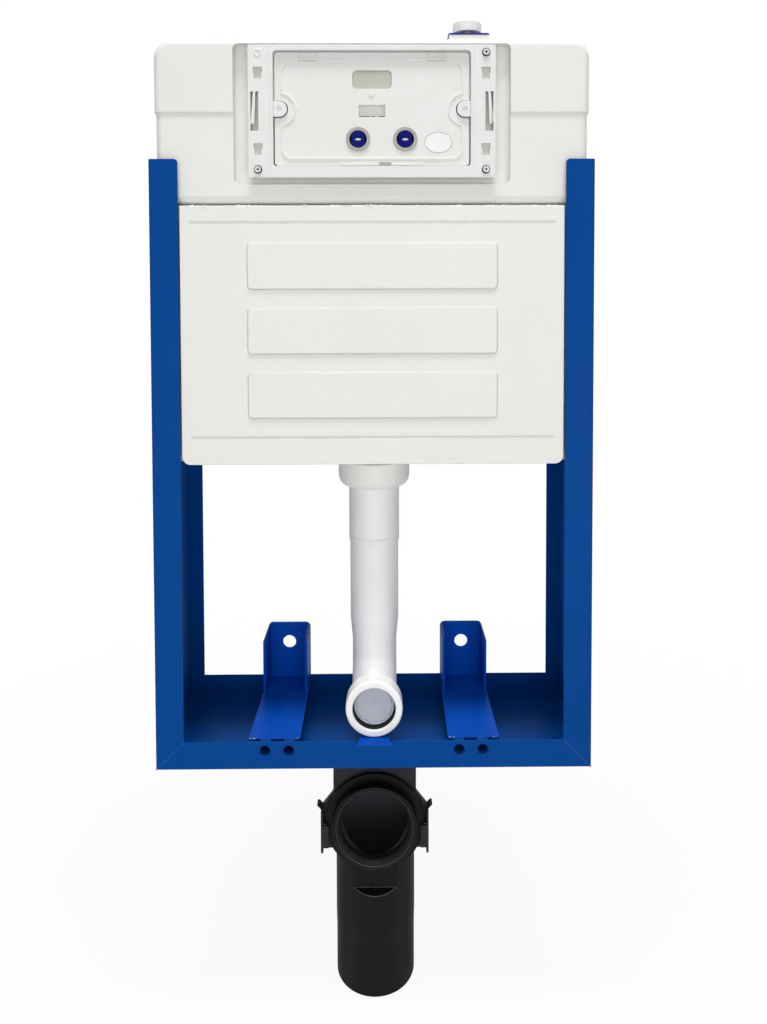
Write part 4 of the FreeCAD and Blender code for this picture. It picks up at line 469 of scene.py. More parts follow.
# Painted shade: a darker, matt near-black sheet laid on the drain's ledge.
LEDGE_SHADE = Finish(
    "ledge floor, painted shade", "black_plastic", base=(0.0022, 0.0024, 0.0026), shade=(0.0030, 0.0032, 0.0034),
    dirt=(0.02, 0.02, 0.02), roughness=0.75, specular=0.03, mottle_scale=40.0, grain_depth=0.008,
    dust_cover=0.08)
CLIP = Finish(
    "clip plastic", "black_plastic", base=(0.0115, 0.0130, 0.0160), shade=(0.0160, 0.0175, 0.0210),
    dirt=(0.07, 0.07, 0.07), roughness=0.44, specular=0.22, mottle_scale=40.0, grain_scale=1200.0,
    grain_depth=0.010, dust_cover=0.16)
RUBBER = Finish(
    "black rubber", "black_rubber", base=(0.0090, 0.0095, 0.0115), shade=(0.0120, 0.0125, 0.0150),
    dirt=(0.05, 0.05, 0.05), roughness=0.50, specular=0.18, mottle_scale=60.0, grain_scale=1600.0,
    grain_depth=0.010, dust_cover=0.18)
GASKET = Finish(
    "blue gasket", "black_rubber", base=(0.018, 0.026, 0.260), shade=(0.014, 0.020, 0.200),
    dirt=(0.12, 0.14, 0.34), roughness=0.45, specular=0.12, mottle_scale=60.0, grain_scale=1400.0,
    grain_depth=0.008, dust_cover=0.12)
BRASS = Finish(
    "turned brass", "brass", base=(0.60, 0.42, 0.17), shade=(0.50, 0.33, 0.12), metallic=1.0,
    roughness=0.30, mottle_scale=120.0, grain_depth=0.006, stretch=(1.0, 1.0, 6.0), dust_cover=0.20)
KNOB = Finish(
    "knob plastic", "knob_plastic", base=(0.015, 0.060, 0.300), shade=(0.012, 0.045, 0.240), roughness=0.38,
    mottle_scale=60.0, dust_cover=0.10)
LABEL = Finish(
    "bare sticker", "plate_plastic", base=(0.830, 0.830, 0.825), shade=(0.790, 0.785, 0.775),
    roughness=0.24, rough_spread=0.04, coat=0.3, mottle_scale=40.0, grain_depth=0.004, dust_cover=0.12)
LABEL_RING = Finish(
    "sticker's printed ring", "black_plastic", base=(0.020, 0.020, 0.022), shade=(0.045, 0.045, 0.048),
    roughness=0.35, mottle_scale=300.0, grain_depth=0.003, dust_cover=0.15)
# Painted shade: a near-black grey for the shadowed rim round each screw head and for the beads in the cover's
# finger slot.
DARK_RIM_SHADE = Finish(
    "dark rim, painted shade", "zinc_steel", base=(0.050, 0.050, 0.052), shade=(0.032, 0.032, 0.034),
    roughness=0.42, specular=0.4, mottle_scale=300.0, grain_scale=1500.0, grain_depth=0.006,
    dust_cover=0.15)


def in_scene(name: str, data: bpy.types.ID) -> bpy.types.Object:
    """Put a new object in the scene.

    Args:
        name: its name.
        data: its mesh, lamp or camera.

    Returns:
        The new object.
    """
    made = bpy.data.objects.new(name, data)
    bpy.context.scene.collection.objects.link(made)
    return made


class Bench:
    """Makes meshes from sizes in mm, softens the solids' edges, and sets finished pieces in the scene."""

    SAME_PLACE = 3e-6
    FLAT_ANGLE = math.radians(0.4)
    SHARP_ANGLE = math.radians(34.0)

    @staticmethod
    def line(start: Point, end: Point, steps: int) -> list[Point]:
        """Spread points evenly from one place to another.

        Args:
            start: the first place, in mm.
            end: the last place, in mm.
            steps: how many stretches lie between the points.

        Returns:
            The points.
        """
        return [tuple(a + (b - a) * i / steps for a, b in zip(start, end)) for i in range(steps + 1)]

    @staticmethod
    def box(x0: float, x1: float, z0: float, z1: float) -> list[Pair]:
        """Give the corners of an upright rectangle."""
        return [(x0, z0), (x1, z0), (x1, z1), (x0, z1)]

    @staticmethod
    def around(centre: Point, axis: Axis, radius: float, turn: float, along: float) -> Point:
        """Find a place round an axis.

        Args:
            centre: a point on the axis, in mm.
            axis: the axis.
            radius: how far off the axis the place is, in mm.
            turn: how far round it is, in radians.
            along: how far along it is from the centre, in mm.

        Returns:
            The place, in mm.
        """
        u, v = radius * math.cos(turn), radius * math.sin(turn)
        offset = (u, along, v) if axis is Axis.Y else (u, v, along)
        return tuple(c + o for c, o in zip(centre, offset))

    @staticmethod
    def corner(mesh: BMesh, place: Point) -> bmesh.types.BMVert:
        """Add a corner, given in mm, to a mesh."""
        return mesh.verts.new([part * MM for part in place])

    @classmethod
    def softened(cls, node: str, width: float, segments: int = 2, tidy: bool = True) -> BMesh:
        """Copy a solid's mesh with its flat faces joined and its sharp edges rounded.

        Args:
            node: the solid.
            width: how far the rounding reaches from an edge, in mm.
            segments: how many faces make the rounding.
            tidy: join the triangles of each flat face first.

        Returns:
            The new mesh, in metres.
        """
        mesh = bmesh.new()
        mesh.from_mesh(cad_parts[node].data)
        for face in mesh.faces:
            face.material_index = 0
        bmesh.ops.remove_doubles(mesh, verts=mesh.verts, dist=cls.SAME_PLACE)
        if tidy:
            bmesh.ops.dissolve_limit(mesh, angle_limit=cls.FLAT_ANGLE, verts=mesh.verts, edges=mesh.edges)
        low, high = ([end(vert.co[i] for vert in mesh.verts) for i in range(3)] for end in (min, max))
        sharp = [edge for edge in mesh.edges
                 if len(edge.link_faces) == 2 and edge.calc_face_angle(0.0) > cls.SHARP_ANGLE]
        if sharp:
            bmesh.ops.bevel(mesh, geom=sharp, offset=width * MM, offset_type="OFFSET", segments=segments,
                            profile=0.5, affect="EDGES", clamp_overlap=False, miter_outer="SHARP",
                            miter_inner="SHARP")
        for vert in mesh.verts:
            vert.co = [min(max(vert.co[i], low[i]), high[i]) for i in range(3)]
        return mesh

    @classmethod
    def turned(cls, profile: Sequence[Pair], centre: Point, steps: int, closed: bool = True) -> BMesh:
        """Turn a profile round an axis that runs back from the front.

        Args:
            profile: pairs of radius and distance along the axis, in mm.
            centre: a point on the axis; the distances are taken from it.
            steps: faces round the axis.
            closed: join the profile's last point to its first.

        Returns:
            The new mesh, in metres.
        """
        mesh = bmesh.new()
        rings = [[cls.corner(mesh, cls.around(centre, Axis.Y, radius, TURN * step / steps, along))
                  for radius, along in profile] for step in range(steps)]
        count = len(profile)
        for step, here in enumerate(rings):
            there = rings[(step + 1) % steps]
            for i in range(count if closed else count - 1):
                j = (i + 1) % count
                mesh.faces.new((here[i], there[i], there[j], here[j]))
        bmesh.ops.remove_doubles(mesh, verts=mesh.verts, dist=1e-7)
        bmesh.ops.recalc_face_normals(mesh, faces=mesh.faces)
        return mesh

    @staticmethod
    def swept(path: Sequence[Point], radius: Radius, sides: int = 10, closed: bool = False) -> BMesh:
        """Sweep a round bead along a path.

        Args:
            path: the bead's middle line, in mm.
            radius: the bead's radius in mm, or what gives it at a share of the length from 0 to 1.
            sides: faces round the bead.
            closed: join the path's end to its start.

        Returns:
            The new mesh, in metres.
        """
        mesh = bmesh.new()
        points = [Vector(point) for point in path]
        count = len(points)
        rings = []
        for i, point in enumerate(points):
            ahead = points[(i + 1) % count] if closed or i + 1 < count else point
            behind = points[i - 1] if closed or i > 0 else point
            run = (ahead - behind).normalized()
            side = run.orthogonal() if abs(run.y) > 0.95 else run.cross(Vector((0, 1, 0)))
            side.normalize()
            up = run.cross(side)
            size = radius(i / (count - 1)) if callable(radius) else radius
            turns = [TURN * k / sides for k in range(sides)]
            rings.append([mesh.verts.new((point + (side * math.cos(turn) + up * math.sin(turn)) * size) * MM)
                          for turn in turns])
        for i in range(count if closed else count - 1):
            here, there = rings[i], rings[(i + 1) % count]
            for k in range(sides):
                mesh.faces.new((here[k], here[(k + 1) % sides], there[(k + 1) % sides], there[k]))
        if not closed:
            mesh.faces.new(rings[0])
            mesh.faces.new(rings[-1])
        bmesh.ops.recalc_face_normals(mesh, faces=mesh.faces)
        return mesh

    @classmethod
    def thread(cls, centre: Point, axis: Axis, radius: float, span: Pair, pitch: float, steps: int) -> BMesh:
        """Cut a thread round an axis.

        Args:
            centre: a point on the axis, in mm.
            axis: the axis.
            radius: the radius of the ridge's middle line, in mm.
            span: where along the axis it starts and ends, in mm.
            pitch: how far it climbs in a turn, in mm.
            steps: how many stretches make a turn.

        Returns:
            The thread's ridge as a mesh, in metres.
        """
        start, end = span
        turns = (end - start) / pitch
        count = int(turns * steps)
        path = [cls.around(centre, axis, radius, TURN * turns * i / count, start + (end - start) * i / count)
                for i in range(count + 1)]
        return cls.swept(path, 0.5, 6)

    @classmethod
    def plate(cls, outline: Sequence[Pair], front: float, back: float, soft: float = 0.15) -> BMesh:
        """Make a plate from its outline as seen from the front.

        Args:
            outline: pairs of X and Z, in mm.
            front: the plate's Y in front, in mm.
            back: the plate's Y behind, in mm.
            soft: how far its front edge is rounded, in mm.

        Returns:
            The new mesh, in metres.
        """
        mesh = bmesh.new()
        face = mesh.faces.new([cls.corner(mesh, (x, front, z)) for x, z in outline])
        grown = bmesh.ops.extrude_face_region(mesh, geom=[face])
        moved = [item for item in grown["geom"] if isinstance(item, bmesh.types.BMVert)]
        bmesh.ops.translate(mesh, verts=moved, vec=(0, (back - front) * MM, 0))
        bmesh.ops.recalc_face_normals(mesh, faces=mesh.faces)
        rim = [edge for edge in mesh.edges if all(abs(v.co.y - front * MM) < 1e-7 for v in edge.verts)]
        bmesh.ops.bevel(mesh, geom=rim, offset=soft * MM, offset_type="OFFSET", segments=2, profile=0.5,
                        affect="EDGES", clamp_overlap=True)
        return mesh

    @classmethod
    def sheet(cls, path: Sequence[Point], above: float, below: float) -> BMesh:
        """Lay a thin sheet inside an outline.

        Args:
            path: the outline's points, in mm.
            above: how far the sheet rises over them.
            below: where its underside lies, as a rise too.

        Returns:
            The new mesh, in metres.
        """
        mesh = bmesh.new()
        top, under = ([cls.corner(mesh, (x, y, z + rise)) for x, y, z in path] for rise in (above, below))
        mesh.faces.new(top)
        mesh.faces.new(under[::-1])
        for i in range(len(path)):
            j = (i + 1) % len(path)
            mesh.faces.new((top[i], under[i], under[j], top[j]))
        bmesh.ops.recalc_face_normals(mesh, faces=mesh.faces)
        return mesh

    @staticmethod
    def speck(mesh: BMesh, place: Point, size: Point) -> None:
        """Add a small rounded grain to a mesh.

        Args:
            mesh: the mesh, in metres.
            place: the grain's middle, in mm.
            size: its half width, half depth and half height, in mm.
        """
        spot = Matrix.Translation(Vector(place) * MM) @ Matrix.Diagonal((*(part * MM for part in size), 1))
        bmesh.ops.create_icosphere(mesh, subdivisions=2, radius=1.0, matrix=spot)

    @staticmethod
    def joined(parts: Iterable[BMesh]) -> BMesh:
        """Put several meshes into one.

        Args:
            parts: the meshes; they are used up.

        Returns:
            One mesh with all of them.
        """
        whole = bmesh.new()
        for part in parts:
            holder = bpy.data.meshes.new("part")
            part.to_mesh(holder)
            part.free()
            whole.from_mesh(holder)
            bpy.data.meshes.remove(holder)
        return whole

    @staticmethod
    def piece(name: str, mesh: BMesh | list[BMesh], finish: Finish, body: Body = Body.FRAME,
              replaces: Sequence[str] = (), smooth: float = 38.0) -> bpy.types.Object:
        """Set a finished piece in the scene on its body.

        Args:
            name: the piece's name.
            mesh: its mesh or meshes, which are used up.
            finish: its finish.
            body: the body it moves with.
            replaces: the solids that it stands for.
            smooth: edges that turn less than this, in degrees, are shaded smooth.

        Returns:
            The new object.
        """
        data = bpy.data.meshes.new(name)
        whole = Bench.joined(mesh) if isinstance(mesh, list) else mesh
        whole.to_mesh(data)
        whole.free()
        data.polygons.foreach_set("use_smooth", [True] * len(data.polygons))
        data.set_sharp_from_angle(angle=math.radians(smooth))
        data.materials.clear()
        data.materials.append(finish.material())
        made = in_scene(name, data)
        weighted = made.modifiers.new("weighted normals", "WEIGHTED_NORMAL")
        weighted.keep_sharp = True
        weighted.weight = 60
        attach(made, body.value)
        if replaces:
            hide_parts(*replaces)
        LOG.info("%s: %d faces, %s", name, len(data.polygons), finish.name)
        return made

    @classmethod
    def dressed(cls, node: str, finish: Finish, width: float, body: Body = Body.FRAME, segments: int = 2,
                tidy: bool = True) -> bpy.types.Object:
        """Stand a softened copy in a solid's place.

        Args:
            node: the solid.
            finish: the copy's finish.
            width: how far its edges are rounded, in mm.
            body: the body it moves with.
            segments: how many faces make the rounding.
            tidy: join the triangles of each flat face first.

        Returns:
            The new object.
        """
        mesh = cls.softened(node, width, segments, tidy)
        return cls.piece(f"{node}_dressed", mesh, finish, body, (node,))

    @staticmethod
    def refinished(node: str, finish: Finish) -> None:
        """Give a solid that stays as it is its finish.

        Args:
            node: the solid.
            finish: the finish.
        """
        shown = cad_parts[node]
        if not shown.material_slots:
            shown.data.materials.append(finish.material())
        for holder in shown.material_slots:
            holder.material = finish.material()
        LOG.info("%s: solid kept, %s", node, finish.name)


@dataclass
class SteelFrame:
    """The folded posts, the rail and the shelves, with their welds and the threaded stud inserts."""

    half_width: float = 230.0
    flange: float = 30.0
    back_flange: float = 18.0
    rail_bottom: float = -20.5
    depth: float = 150.0
    sheet_face: float = 2.2
    end_gap: float = 0.6
    studs: tuple[float, ...] = (-115.0, -90.0, 90.0, 115.0)
    thread_radius: float = 5.9
    thread_span: Pair = (0.4, 8.0)
    thread_pitch: float = 1.75
    thread_steps: int = 26
    seam_radius: float = 0.55
    seam_steps: int = 45
    seam_front: float = 0.38
    seam_wander: float = 0.12
    corner_inset: float = 4.0
    back_inset: float = 2.3
    tab: Point = (19.4, 18.9, 5.0)
    tab_root: Pair = (0.1, 2.0)

    def build(self) -> None:
        """Dress the steel and add its welds and inserts."""
        for node in ("post_left", "post_right", "bottom_rail", "tank_shelf_left", "tank_shelf_right"):
            Bench.dressed(node, POWDER_COAT, 0.45)
        self._mitre_seams()
        self._stud_inserts()
        half, reach, top = self.tab
        start, bend = self.tab_root
        tip = half - reach / 4
        outline = [(-half, start, top), (half, start, top), (half, bend, top), (tip, reach, top),
                   (-tip, reach, top), (-half, bend, top)]
        # The rest tab takes the lighter copy of the powder coat: painted light on its top.
        Bench.piece("rest_tab_lit_coat", Bench.sheet(outline, 0.12, -0.1), LIT_POWDER_COAT)

    def _mitre_seams(self) -> None:
        """Lay the ground weld along each front mitre and up each inner corner of the rail."""
        top = self.rail_bottom + self.flange
        inner = self.half_width - self.back_flange
        web = self.half_width - self.sheet_face
        floor = self.rail_bottom + self.sheet_face
        seams = []
        for side in (-1, 1):
            rng = random.Random(41 + side)
            y = self.seam_front
            outer = (side * (self.half_width - self.end_gap), y, self.rail_bottom + self.end_gap)
            mitre = Bench.line(outer, (side * (self.half_width - self.flange), y, top), self.seam_steps)
            front = [(x, y, z + rng.uniform(-self.seam_wander, self.seam_wander)) for x, y, z in mitre]
            seams.append(Bench.swept(front, lambda s: self.seam_radius * (1 + 0.14 * math.sin(150 * s))))
            corner = Bench.line((side * web, self.corner_inset, floor),
                                (side * web, self.depth - self.corner_inset, floor), 90)
            seams.append(Bench.swept(corner, lambda s: 1.1 + 0.16 * math.sin(240 * s)))
            back = self.depth - self.back_inset
            rise = Bench.line((side * web, back, floor), (side * inner, back, top), 30)
            seams.append(Bench.swept(rise, lambda s: 0.8 + 0.12 * math.sin(90 * s)))
        Bench.piece("mitre_seams", seams, WELD)

    def _stud_inserts(self) -> None:
        """Stand a pressed rim and a cut thread in each stud hole, over the nut behind it."""
        rim = [(5.95, 2.0), (5.95, 0.1), (6.1, -0.2), (6.5, -0.35), (7.0, -0.3), (7.3, -0.05), (7.3, 0.3),
               (6.2, 0.3), (6.2, 2.0)]
        parts = [Bench.softened("stud_nuts", 0.3)]
        for x in self.studs:
            centre = (x, 0.0, 0.0)
            parts.append(Bench.turned(rim, centre, 40))
            parts.append(Bench.thread(centre, Axis.Y, self.thread_radius, self.thread_span, self.thread_pitch,
                                      self.thread_steps))
        Bench.piece("stud_inserts", parts, POWDER_COAT, replaces=("stud_nuts",))


@dataclass
class AnchorBrackets:
    """The two open brackets that are bolted to the wall, with their welds and their chipped front lips."""

    spacing: float = 212.0
    leg_half: float = 27.5
    leg_front: float = 8.0
    leg_top: float = 9.5
    lip_half: float = 26.7
    upright_half: float = 26.0
    upright_span: Pair = (104.0, 144.0)
    chips: int = 12

    def build(self) -> None:
        """Dress both brackets and lay their welds."""
        for node in ("anchor_bracket_left", "anchor_bracket_right"):
            # The brackets take the lighter copy of the powder coat: painted light from above.
            Bench.dressed(node, LIT_POWDER_COAT, 0.3, tidy=False)
        self._corner_welds()
        self._front_lips()

    def _front_lips(self) -> None:
        """Round the front edge of each leg with a lip of thick coat, chipped at its corners."""
        lips, chips = [], bmesh.new()
        for side in (-1, 1):
            middle = side * self.spacing / 2
            y, z = self.leg_front + 0.1, self.leg_top - 0.75
            lips.append(Bench.swept(
                Bench.line((middle - self.lip_half, y, z), (middle + self.lip_half, y, z), 24), 0.85))
            rng = random.Random(11 + side)
            for _ in range(self.chips):
                x = middle + rng.choice((-1, 1)) * (self.leg_half - rng.uniform(1.2, 6.5))
                size = rng.uniform(0.22, 0.5)
                place = (x, self.leg_front - rng.uniform(0.2, 0.6), self.leg_top - rng.uniform(-0.1, 0.9))
                Bench.speck(chips, place, (size * 1.8, size, size))
        # The lips take the lighter copy of the powder coat: painted light.
        Bench.piece("bracket_front_lips_lit", lips, LIT_POWDER_COAT)
        Bench.piece("bracket_chips", chips, CHIP)

    def _corner_welds(self) -> None:
        """Lay a short bead at each front corner of a leg and along its sides behind."""
        beads = []
        start, end = self.upright_span
        for side in (-1, 1):
            middle = side * self.spacing / 2
            for edge in (-1, 1):
                rng = random.Random(7 * side + edge)
                x = middle + edge * (self.leg_half - 4.0)
                y, z = self.leg_front - 0.5, self.leg_top - 0.9
                short = Bench.line((x - edge * 1.8, y, z), (x + edge * 1.8, y, z), 7)
                front = [(across, back + rng.uniform(-0.2, 0.2), up) for across, back, up in short]
                beads.append(Bench.swept(front, lambda s: 1.0 + 0.5 * math.sin(math.pi * s)))
                foot = middle + edge * (self.upright_half - 0.6)
                run = Bench.line((foot, start, self.leg_top + 0.1), (foot, end, self.leg_top + 0.1), 30)
                beads.append(Bench.swept(run, lambda s: 0.7 + 0.14 * math.sin(70 * s)))
        Bench.piece("bracket_welds", beads, WELD)


@dataclass
class Cistern:
    """The blow-moulded cistern with its round mould mark."""

    mark: Point = (-183.0, 4.5, 684.0)
    ring: tuple[Pair, ...] = ((3.5, 0.3), (3.8, -0.18), (4.4, -0.18), (4.8, 0.3))

    def build(self) -> None:
        """Dress the cistern and add its round mould mark."""
        Bench.dressed("tank_body", TANK, 0.6)
        Bench.piece("cistern_mould_mark", Bench.turned(self.ring, self.mark, 36), TANK)


@dataclass
class FoamPanel:
    """The bead foam panel in front of the cistern, with the loose beads along its torn top edge."""

    top: float = 572.0
    front: float = 2.0
    beads: int = 150
    torn_share: float = 0.75
    torn: tuple[Pair, ...] = ((-60.0, 95.0), (-150.0, -120.0), (-20.0, 10.0), (120.0, 170.0))
    edge: Pair = (-193.0, 193.0)

    def build(self) -> None:
        """Dress the panel and stand half-sunk beads along its top edge, most of them where it is torn."""
        Bench.dressed("front_foam_panel", FOAM, 0.9, segments=3)
        rng = random.Random(20)
        whole = bmesh.new()
        for _ in range(self.beads):
            low, high = rng.choice(self.torn) if rng.random() < self.torn_share else self.edge
            x = rng.uniform(low, high)
            size = rng.uniform(0.7, 1.7)
            place = (x, self.front + rng.uniform(0.6, 3.0), self.top + rng.uniform(-0.9, 0.1))
            Bench.speck(whole, place, (size * 1.2, size, size * 0.7))
        Bench.piece("foam_top_beads", whole, FOAM)


@dataclass
class PlateFrame:
    """The plate frame in the cistern's recess, with its screws and the boss of the empty screw place."""

    boss: Pair = (-117.0, 727.5)
    boss_radius: float = 4.4
    rail_lines: tuple[float, ...] = (-104.6, 104.6)
    rail_span: Pair = (602.5, 734.0)
    screws: tuple[Pair, ...] = ((117.0, 727.5), (117.0, 608.5), (-117.0, 608.5))
    cross: Pair = (1.9, 0.38)
    ears: Pair = (-95.5, 95.5)
    ear_z: float = 671.0
    keyhole: Pair = (117.0, 6.6)
    keyhole_spans: tuple[Pair, ...] = ((699.0, 714.6), (621.5, 637.2))
    window: Pair = (119.2, 5.0)
    window_span: Pair = (645.0, 691.0)

    def build(self) -> None:
        """Dress the frame and its screws, and add the boss and the stiffening lines."""
        Bench.dressed("plate_frame", PLATE, 0.35)
        Bench.dressed("plate_frame_screws", ZINC, 0.12)
        self._screw_marks()
        self._pocket_backs()
        x, z = self.boss
        ring = [(0.0, 0.2), (1.9, 0.2), (2.3, -0.6), (3.9, -0.7), (self.boss_radius, -0.3),
                (self.boss_radius, 0.5), (0.0, 0.5)]
        parts = [Bench.turned(ring, (x, 0.0, z), 40, closed=False)]
        low, high = self.rail_span
        for x in self.rail_lines:
            parts.append(Bench.swept(Bench.line((x, 0.06, low), (x, 0.06, high), 20), 0.45, 8))
        Bench.piece("plate_frame_ribs", parts, PLATE)

    def _screw_marks(self) -> None:
        """Set the dark rim round each screw head, a painted shadow in its countersink, the black in its
        cross, painted shade at the foot of the recess, and the floor of each ear's hole.
        """
        rim_shadows, cross_shades, floors = [], [], []
        ring = [(2.75, -2.16), (3.1, -2.19), (3.6, -2.05), (4.1, -1.3), (4.3, 0.0), (2.75, 0.0)]
        disc = [(0.0, 4.2), (2.2, 4.0), (2.7, 3.6), (2.7, 4.8), (0.0, 4.8)]
        for x, z in self.screws:
            rim_shadows.append(Bench.turned(ring, (x, 0.0, z), 40))
            for wide, high in (self.cross, self.cross[::-1]):
                slot = Bench.box(x - wide, x + wide, z - high, z + high)
                cross_shades.append(Bench.plate(slot, -1.05, -0.7, 0.05))
        for x in self.ears:
            floors.append(Bench.turned(disc, (x, 0.0, self.ear_z), 40, closed=False))
        # The dark rings are painted shadow round the screw heads; the black plates in the crosses, in the
        # black rubber finish, are painted shade.
        Bench.piece("plate_screw_rim_shadows", rim_shadows, DARK_RIM_SHADE)
        Bench.piece("plate_screw_cross_shade", cross_shades, RUBBER)
        Bench.piece("plate_frame_ear_floors", floors, PLATE)

    def _pocket_backs(self) -> None:
        """Close the keyholes and the side windows from behind, so that each is a shallow pocket whose back is
        a darker grey: painted shade in the pocket.
        """
        pockets = [(self.keyhole, span, 2.5) for span in self.keyhole_spans]
        pockets.append((self.window, self.window_span, 5.6))
        parts = []
        for side in (-1, 1):
            for (middle, half), span, front in pockets:
                outline = Bench.box(side * middle - half, side * middle + half, *span)
                parts.append(Bench.plate(outline, front, front + 0.8, 0.1))
        Bench.piece("plate_frame_pocket_backs_shade", parts, POCKET_SHADE)


@dataclass
class AccessCover:
    """The cover with its sight pane, rod guides, moulded arrow and bare oval sticker."""

    front: float = 5.0
    arrow_z: float = 686.0
    sticker: Pair = (68.4, 637.0)
    sticker_half: Pair = (15.0, 11.5)
    sticker_steps: int = 64
    ring_inset: float = 0.9
    notch: tuple[float, float, float, float] = (7.3, 19.7, 613.3, 616.4)
    catches: tuple[Pair, ...] = ((-12.8, -2.2), (-0.9, 3.2), (7.0, 12.8))
    catch_z: float = 663.5

    def build(self) -> None:
        """Dress the cover and everything that comes off with it."""
        Bench.dressed("access_cover", COVER, 0.3, Body.COVER, tidy=False)
        Bench.dressed("cover_window", PANE, 0.3, Body.COVER)
        for node in ("rod_guide_left", "rod_guide_right"):
            Bench.dressed(node, GUIDE, 0.35, Body.COVER)
        self._arrow()
        self._sticker()
        # A grey plate in the notch between the tabs, in the rod guides' grey: painted shade in the notch.
        notch_shade = Bench.plate(Bench.box(*self.notch), self.front - 0.2, self.front + 0.3)
        Bench.piece("cover_notch_shade", notch_shade, GUIDE, Body.COVER)
        y, z = self.front + 0.5, self.catch_z
        # Dark beads for the catches in the finger slot, in the dark rim finish: painted shade in the slot.
        catches = [Bench.swept(Bench.line((start, y, z), (end, y, z), 8), 0.4, 8)
                   for start, end in self.catches]
        Bench.piece("finger_slot_catches", catches, DARK_RIM_SHADE, Body.COVER)

    def _arrow(self) -> None:
        """Raise a plain arrow towards the finger slot, where the cover is pulled."""
        rise = [(-1.3, 3.2), (1.3, 3.2), (1.3, 0.1), (3.6, 0.1), (0.0, -3.4), (-3.6, 0.1), (-1.3, 0.1)]
        outline = [(x, self.arrow_z + up) for x, up in rise[::-1]]
        arrow = Bench.plate(outline, self.front - 0.55, self.front + 0.3)
        Bench.piece("cover_arrow", arrow, COVER, Body.COVER)

    def _oval(self, inset: float) -> list[Pair]:
        """Follow the sticker's outline.

        Args:
            inset: how far inside the outline, in mm.

        Returns:
            Pairs of X and Z.
        """
        x, z = self.sticker
        wide, high = (half - inset for half in self.sticker_half)
        turns = [TURN * i / self.sticker_steps for i in range(self.sticker_steps)]
        return [(x + wide * math.cos(turn), z + high * math.sin(turn)) for turn in turns]

    def _sticker(self) -> None:
        """Lay the bare sticker on the cover with its thin printed ring."""
        base = Bench.plate(self._oval(0.0), self.front - 0.16, self.front + 0.1, 0.05)
        Bench.piece("bare_sticker", base, LABEL, Body.COVER)
        ring = [(x, self.front - 0.10, z) for x, z in self._oval(self.ring_inset)]
        Bench.piece("bare_sticker_ring", Bench.swept(ring, 0.22, 8, True), LABEL_RING, Body.COVER)


@dataclass
class PushRods:
    """The two push rods, each with a pale lens-shaped mark in its slot: painted light, the light that shows
    there.
    """

    rods: tuple[tuple[str, Body, float], ...] = (
        ("push_rod_left", Body.ROD_LEFT, -14.55), ("push_rod_right", Body.ROD_RIGHT, 34.15))
    z: float = 640.3
    front: float = 4.0
    light_leaf: Pair = (3.3, 1.2)

    def build(self) -> None:
        """Dress both rods and set the pale mark, painted light, at the foot of each one's slot."""
        wide, high = self.light_leaf
        for node, body, x in self.rods:
            Bench.dressed(node, ROD, 0.5, body, 3)
            outline = []
            for i in range(24):
                turn = TURN * i / 24
                lens = math.copysign(abs(math.sin(turn)) ** 1.4, math.sin(turn))
                outline.append((x + wide * math.cos(turn), self.z + high * lens))
            # A pale lens-shaped plate in the sticker's finish: painted light in the slot.
            light_leaf = Bench.plate(outline, self.front + 1.2, self.front + 3.4, 0.1)
            Bench.piece(f"{node}_leaf", light_leaf, LABEL, body)


@dataclass
class FlushMechanism:
    """The rockers, the lifting tubes, the valve basket and its seat inside the cistern."""

    width: float = 0.3
    nodes: tuple[tuple[str, Finish, Body], ...] = (
        ("rocker_bracket", VALVE, Body.FRAME), ("rocker_pin", ZINC, Body.FRAME),
        ("rocker_lever_left", VALVE, Body.ROCKER_LEFT), ("rocker_lever_right", VALVE, Body.ROCKER_RIGHT),
        ("valve_seat", VALVE, Body.FRAME), ("valve_basket", VALVE, Body.FRAME),
        ("full_lift_tube", VALVE, Body.FULL_LIFT), ("half_lift_float", FLOAT, Body.HALF_LIFT))

    def build(self) -> None:
        """Dress the mechanism's parts; the valve's seal keeps its solid."""
        for node, finish, body in self.nodes:
            Bench.dressed(node, finish, self.width, body)
        Bench.refinished("valve_seal", RUBBER)


@dataclass
class FillingSide:
    """The inlet on the cistern's top, the stop valve and the filling valve with its float."""

    width: float = 0.3
    inlet: Point = (105.0, 72.0, 0.0)
    thread_radius: float = 10.05
    thread_pitch: float = 1.8
    thread_span: Pair = (770.0, 778.2)
    thread_steps: int = 32
    cap_radius: float = 15.4
    cap_span: Pair = (770.0, 779.0)
    cap_ribs: int = 36
    nodes: tuple[tuple[str, Finish, Body], ...] = (
        ("inlet_locknut", BRASS, Body.FRAME), ("inlet_gasket", GASKET, Body.FRAME),
        ("stop_valve_body", BRASS, Body.FRAME), ("supply_pipe", VALVE, Body.FRAME),
        ("fill_valve_body", VALVE, Body.FRAME), ("fill_valve_holder", VALVE, Body.FRAME),
        ("fill_lever_pin", ZINC, Body.FRAME), ("fill_valve_float", FLOAT, Body.FLOAT),
        ("fill_valve_lever", VALVE, Body.FLOAT_LEVER), ("stop_valve_knob", KNOB, Body.KNOB))

    def build(self) -> None:
        """Dress the filling side, cut the inlet's thread and rib the dust cap for a grip."""
        for node, finish, body in self.nodes:
            Bench.dressed(node, finish, self.width, body)
        nipple = [Bench.softened("inlet_nipple", self.width),
                  Bench.thread(self.inlet, Axis.Z, self.thread_radius, self.thread_span, self.thread_pitch,
                               self.thread_steps)]
        Bench.piece("inlet_nipple_dressed", nipple, BRASS, replaces=("inlet_nipple",))
        cap = [Bench.softened("inlet_cap", self.width)]
        for i in range(self.cap_ribs):
            ends = [Bench.around(self.inlet, Axis.Z, self.cap_radius, TURN * i / self.cap_ribs, z)
                    for z in self.cap_span]
            cap.append(Bench.swept(Bench.line(*ends, 4), 0.42, 6))
        Bench.piece("inlet_cap_dressed", cap, CAP, Body.CAP, ("inlet_cap",))


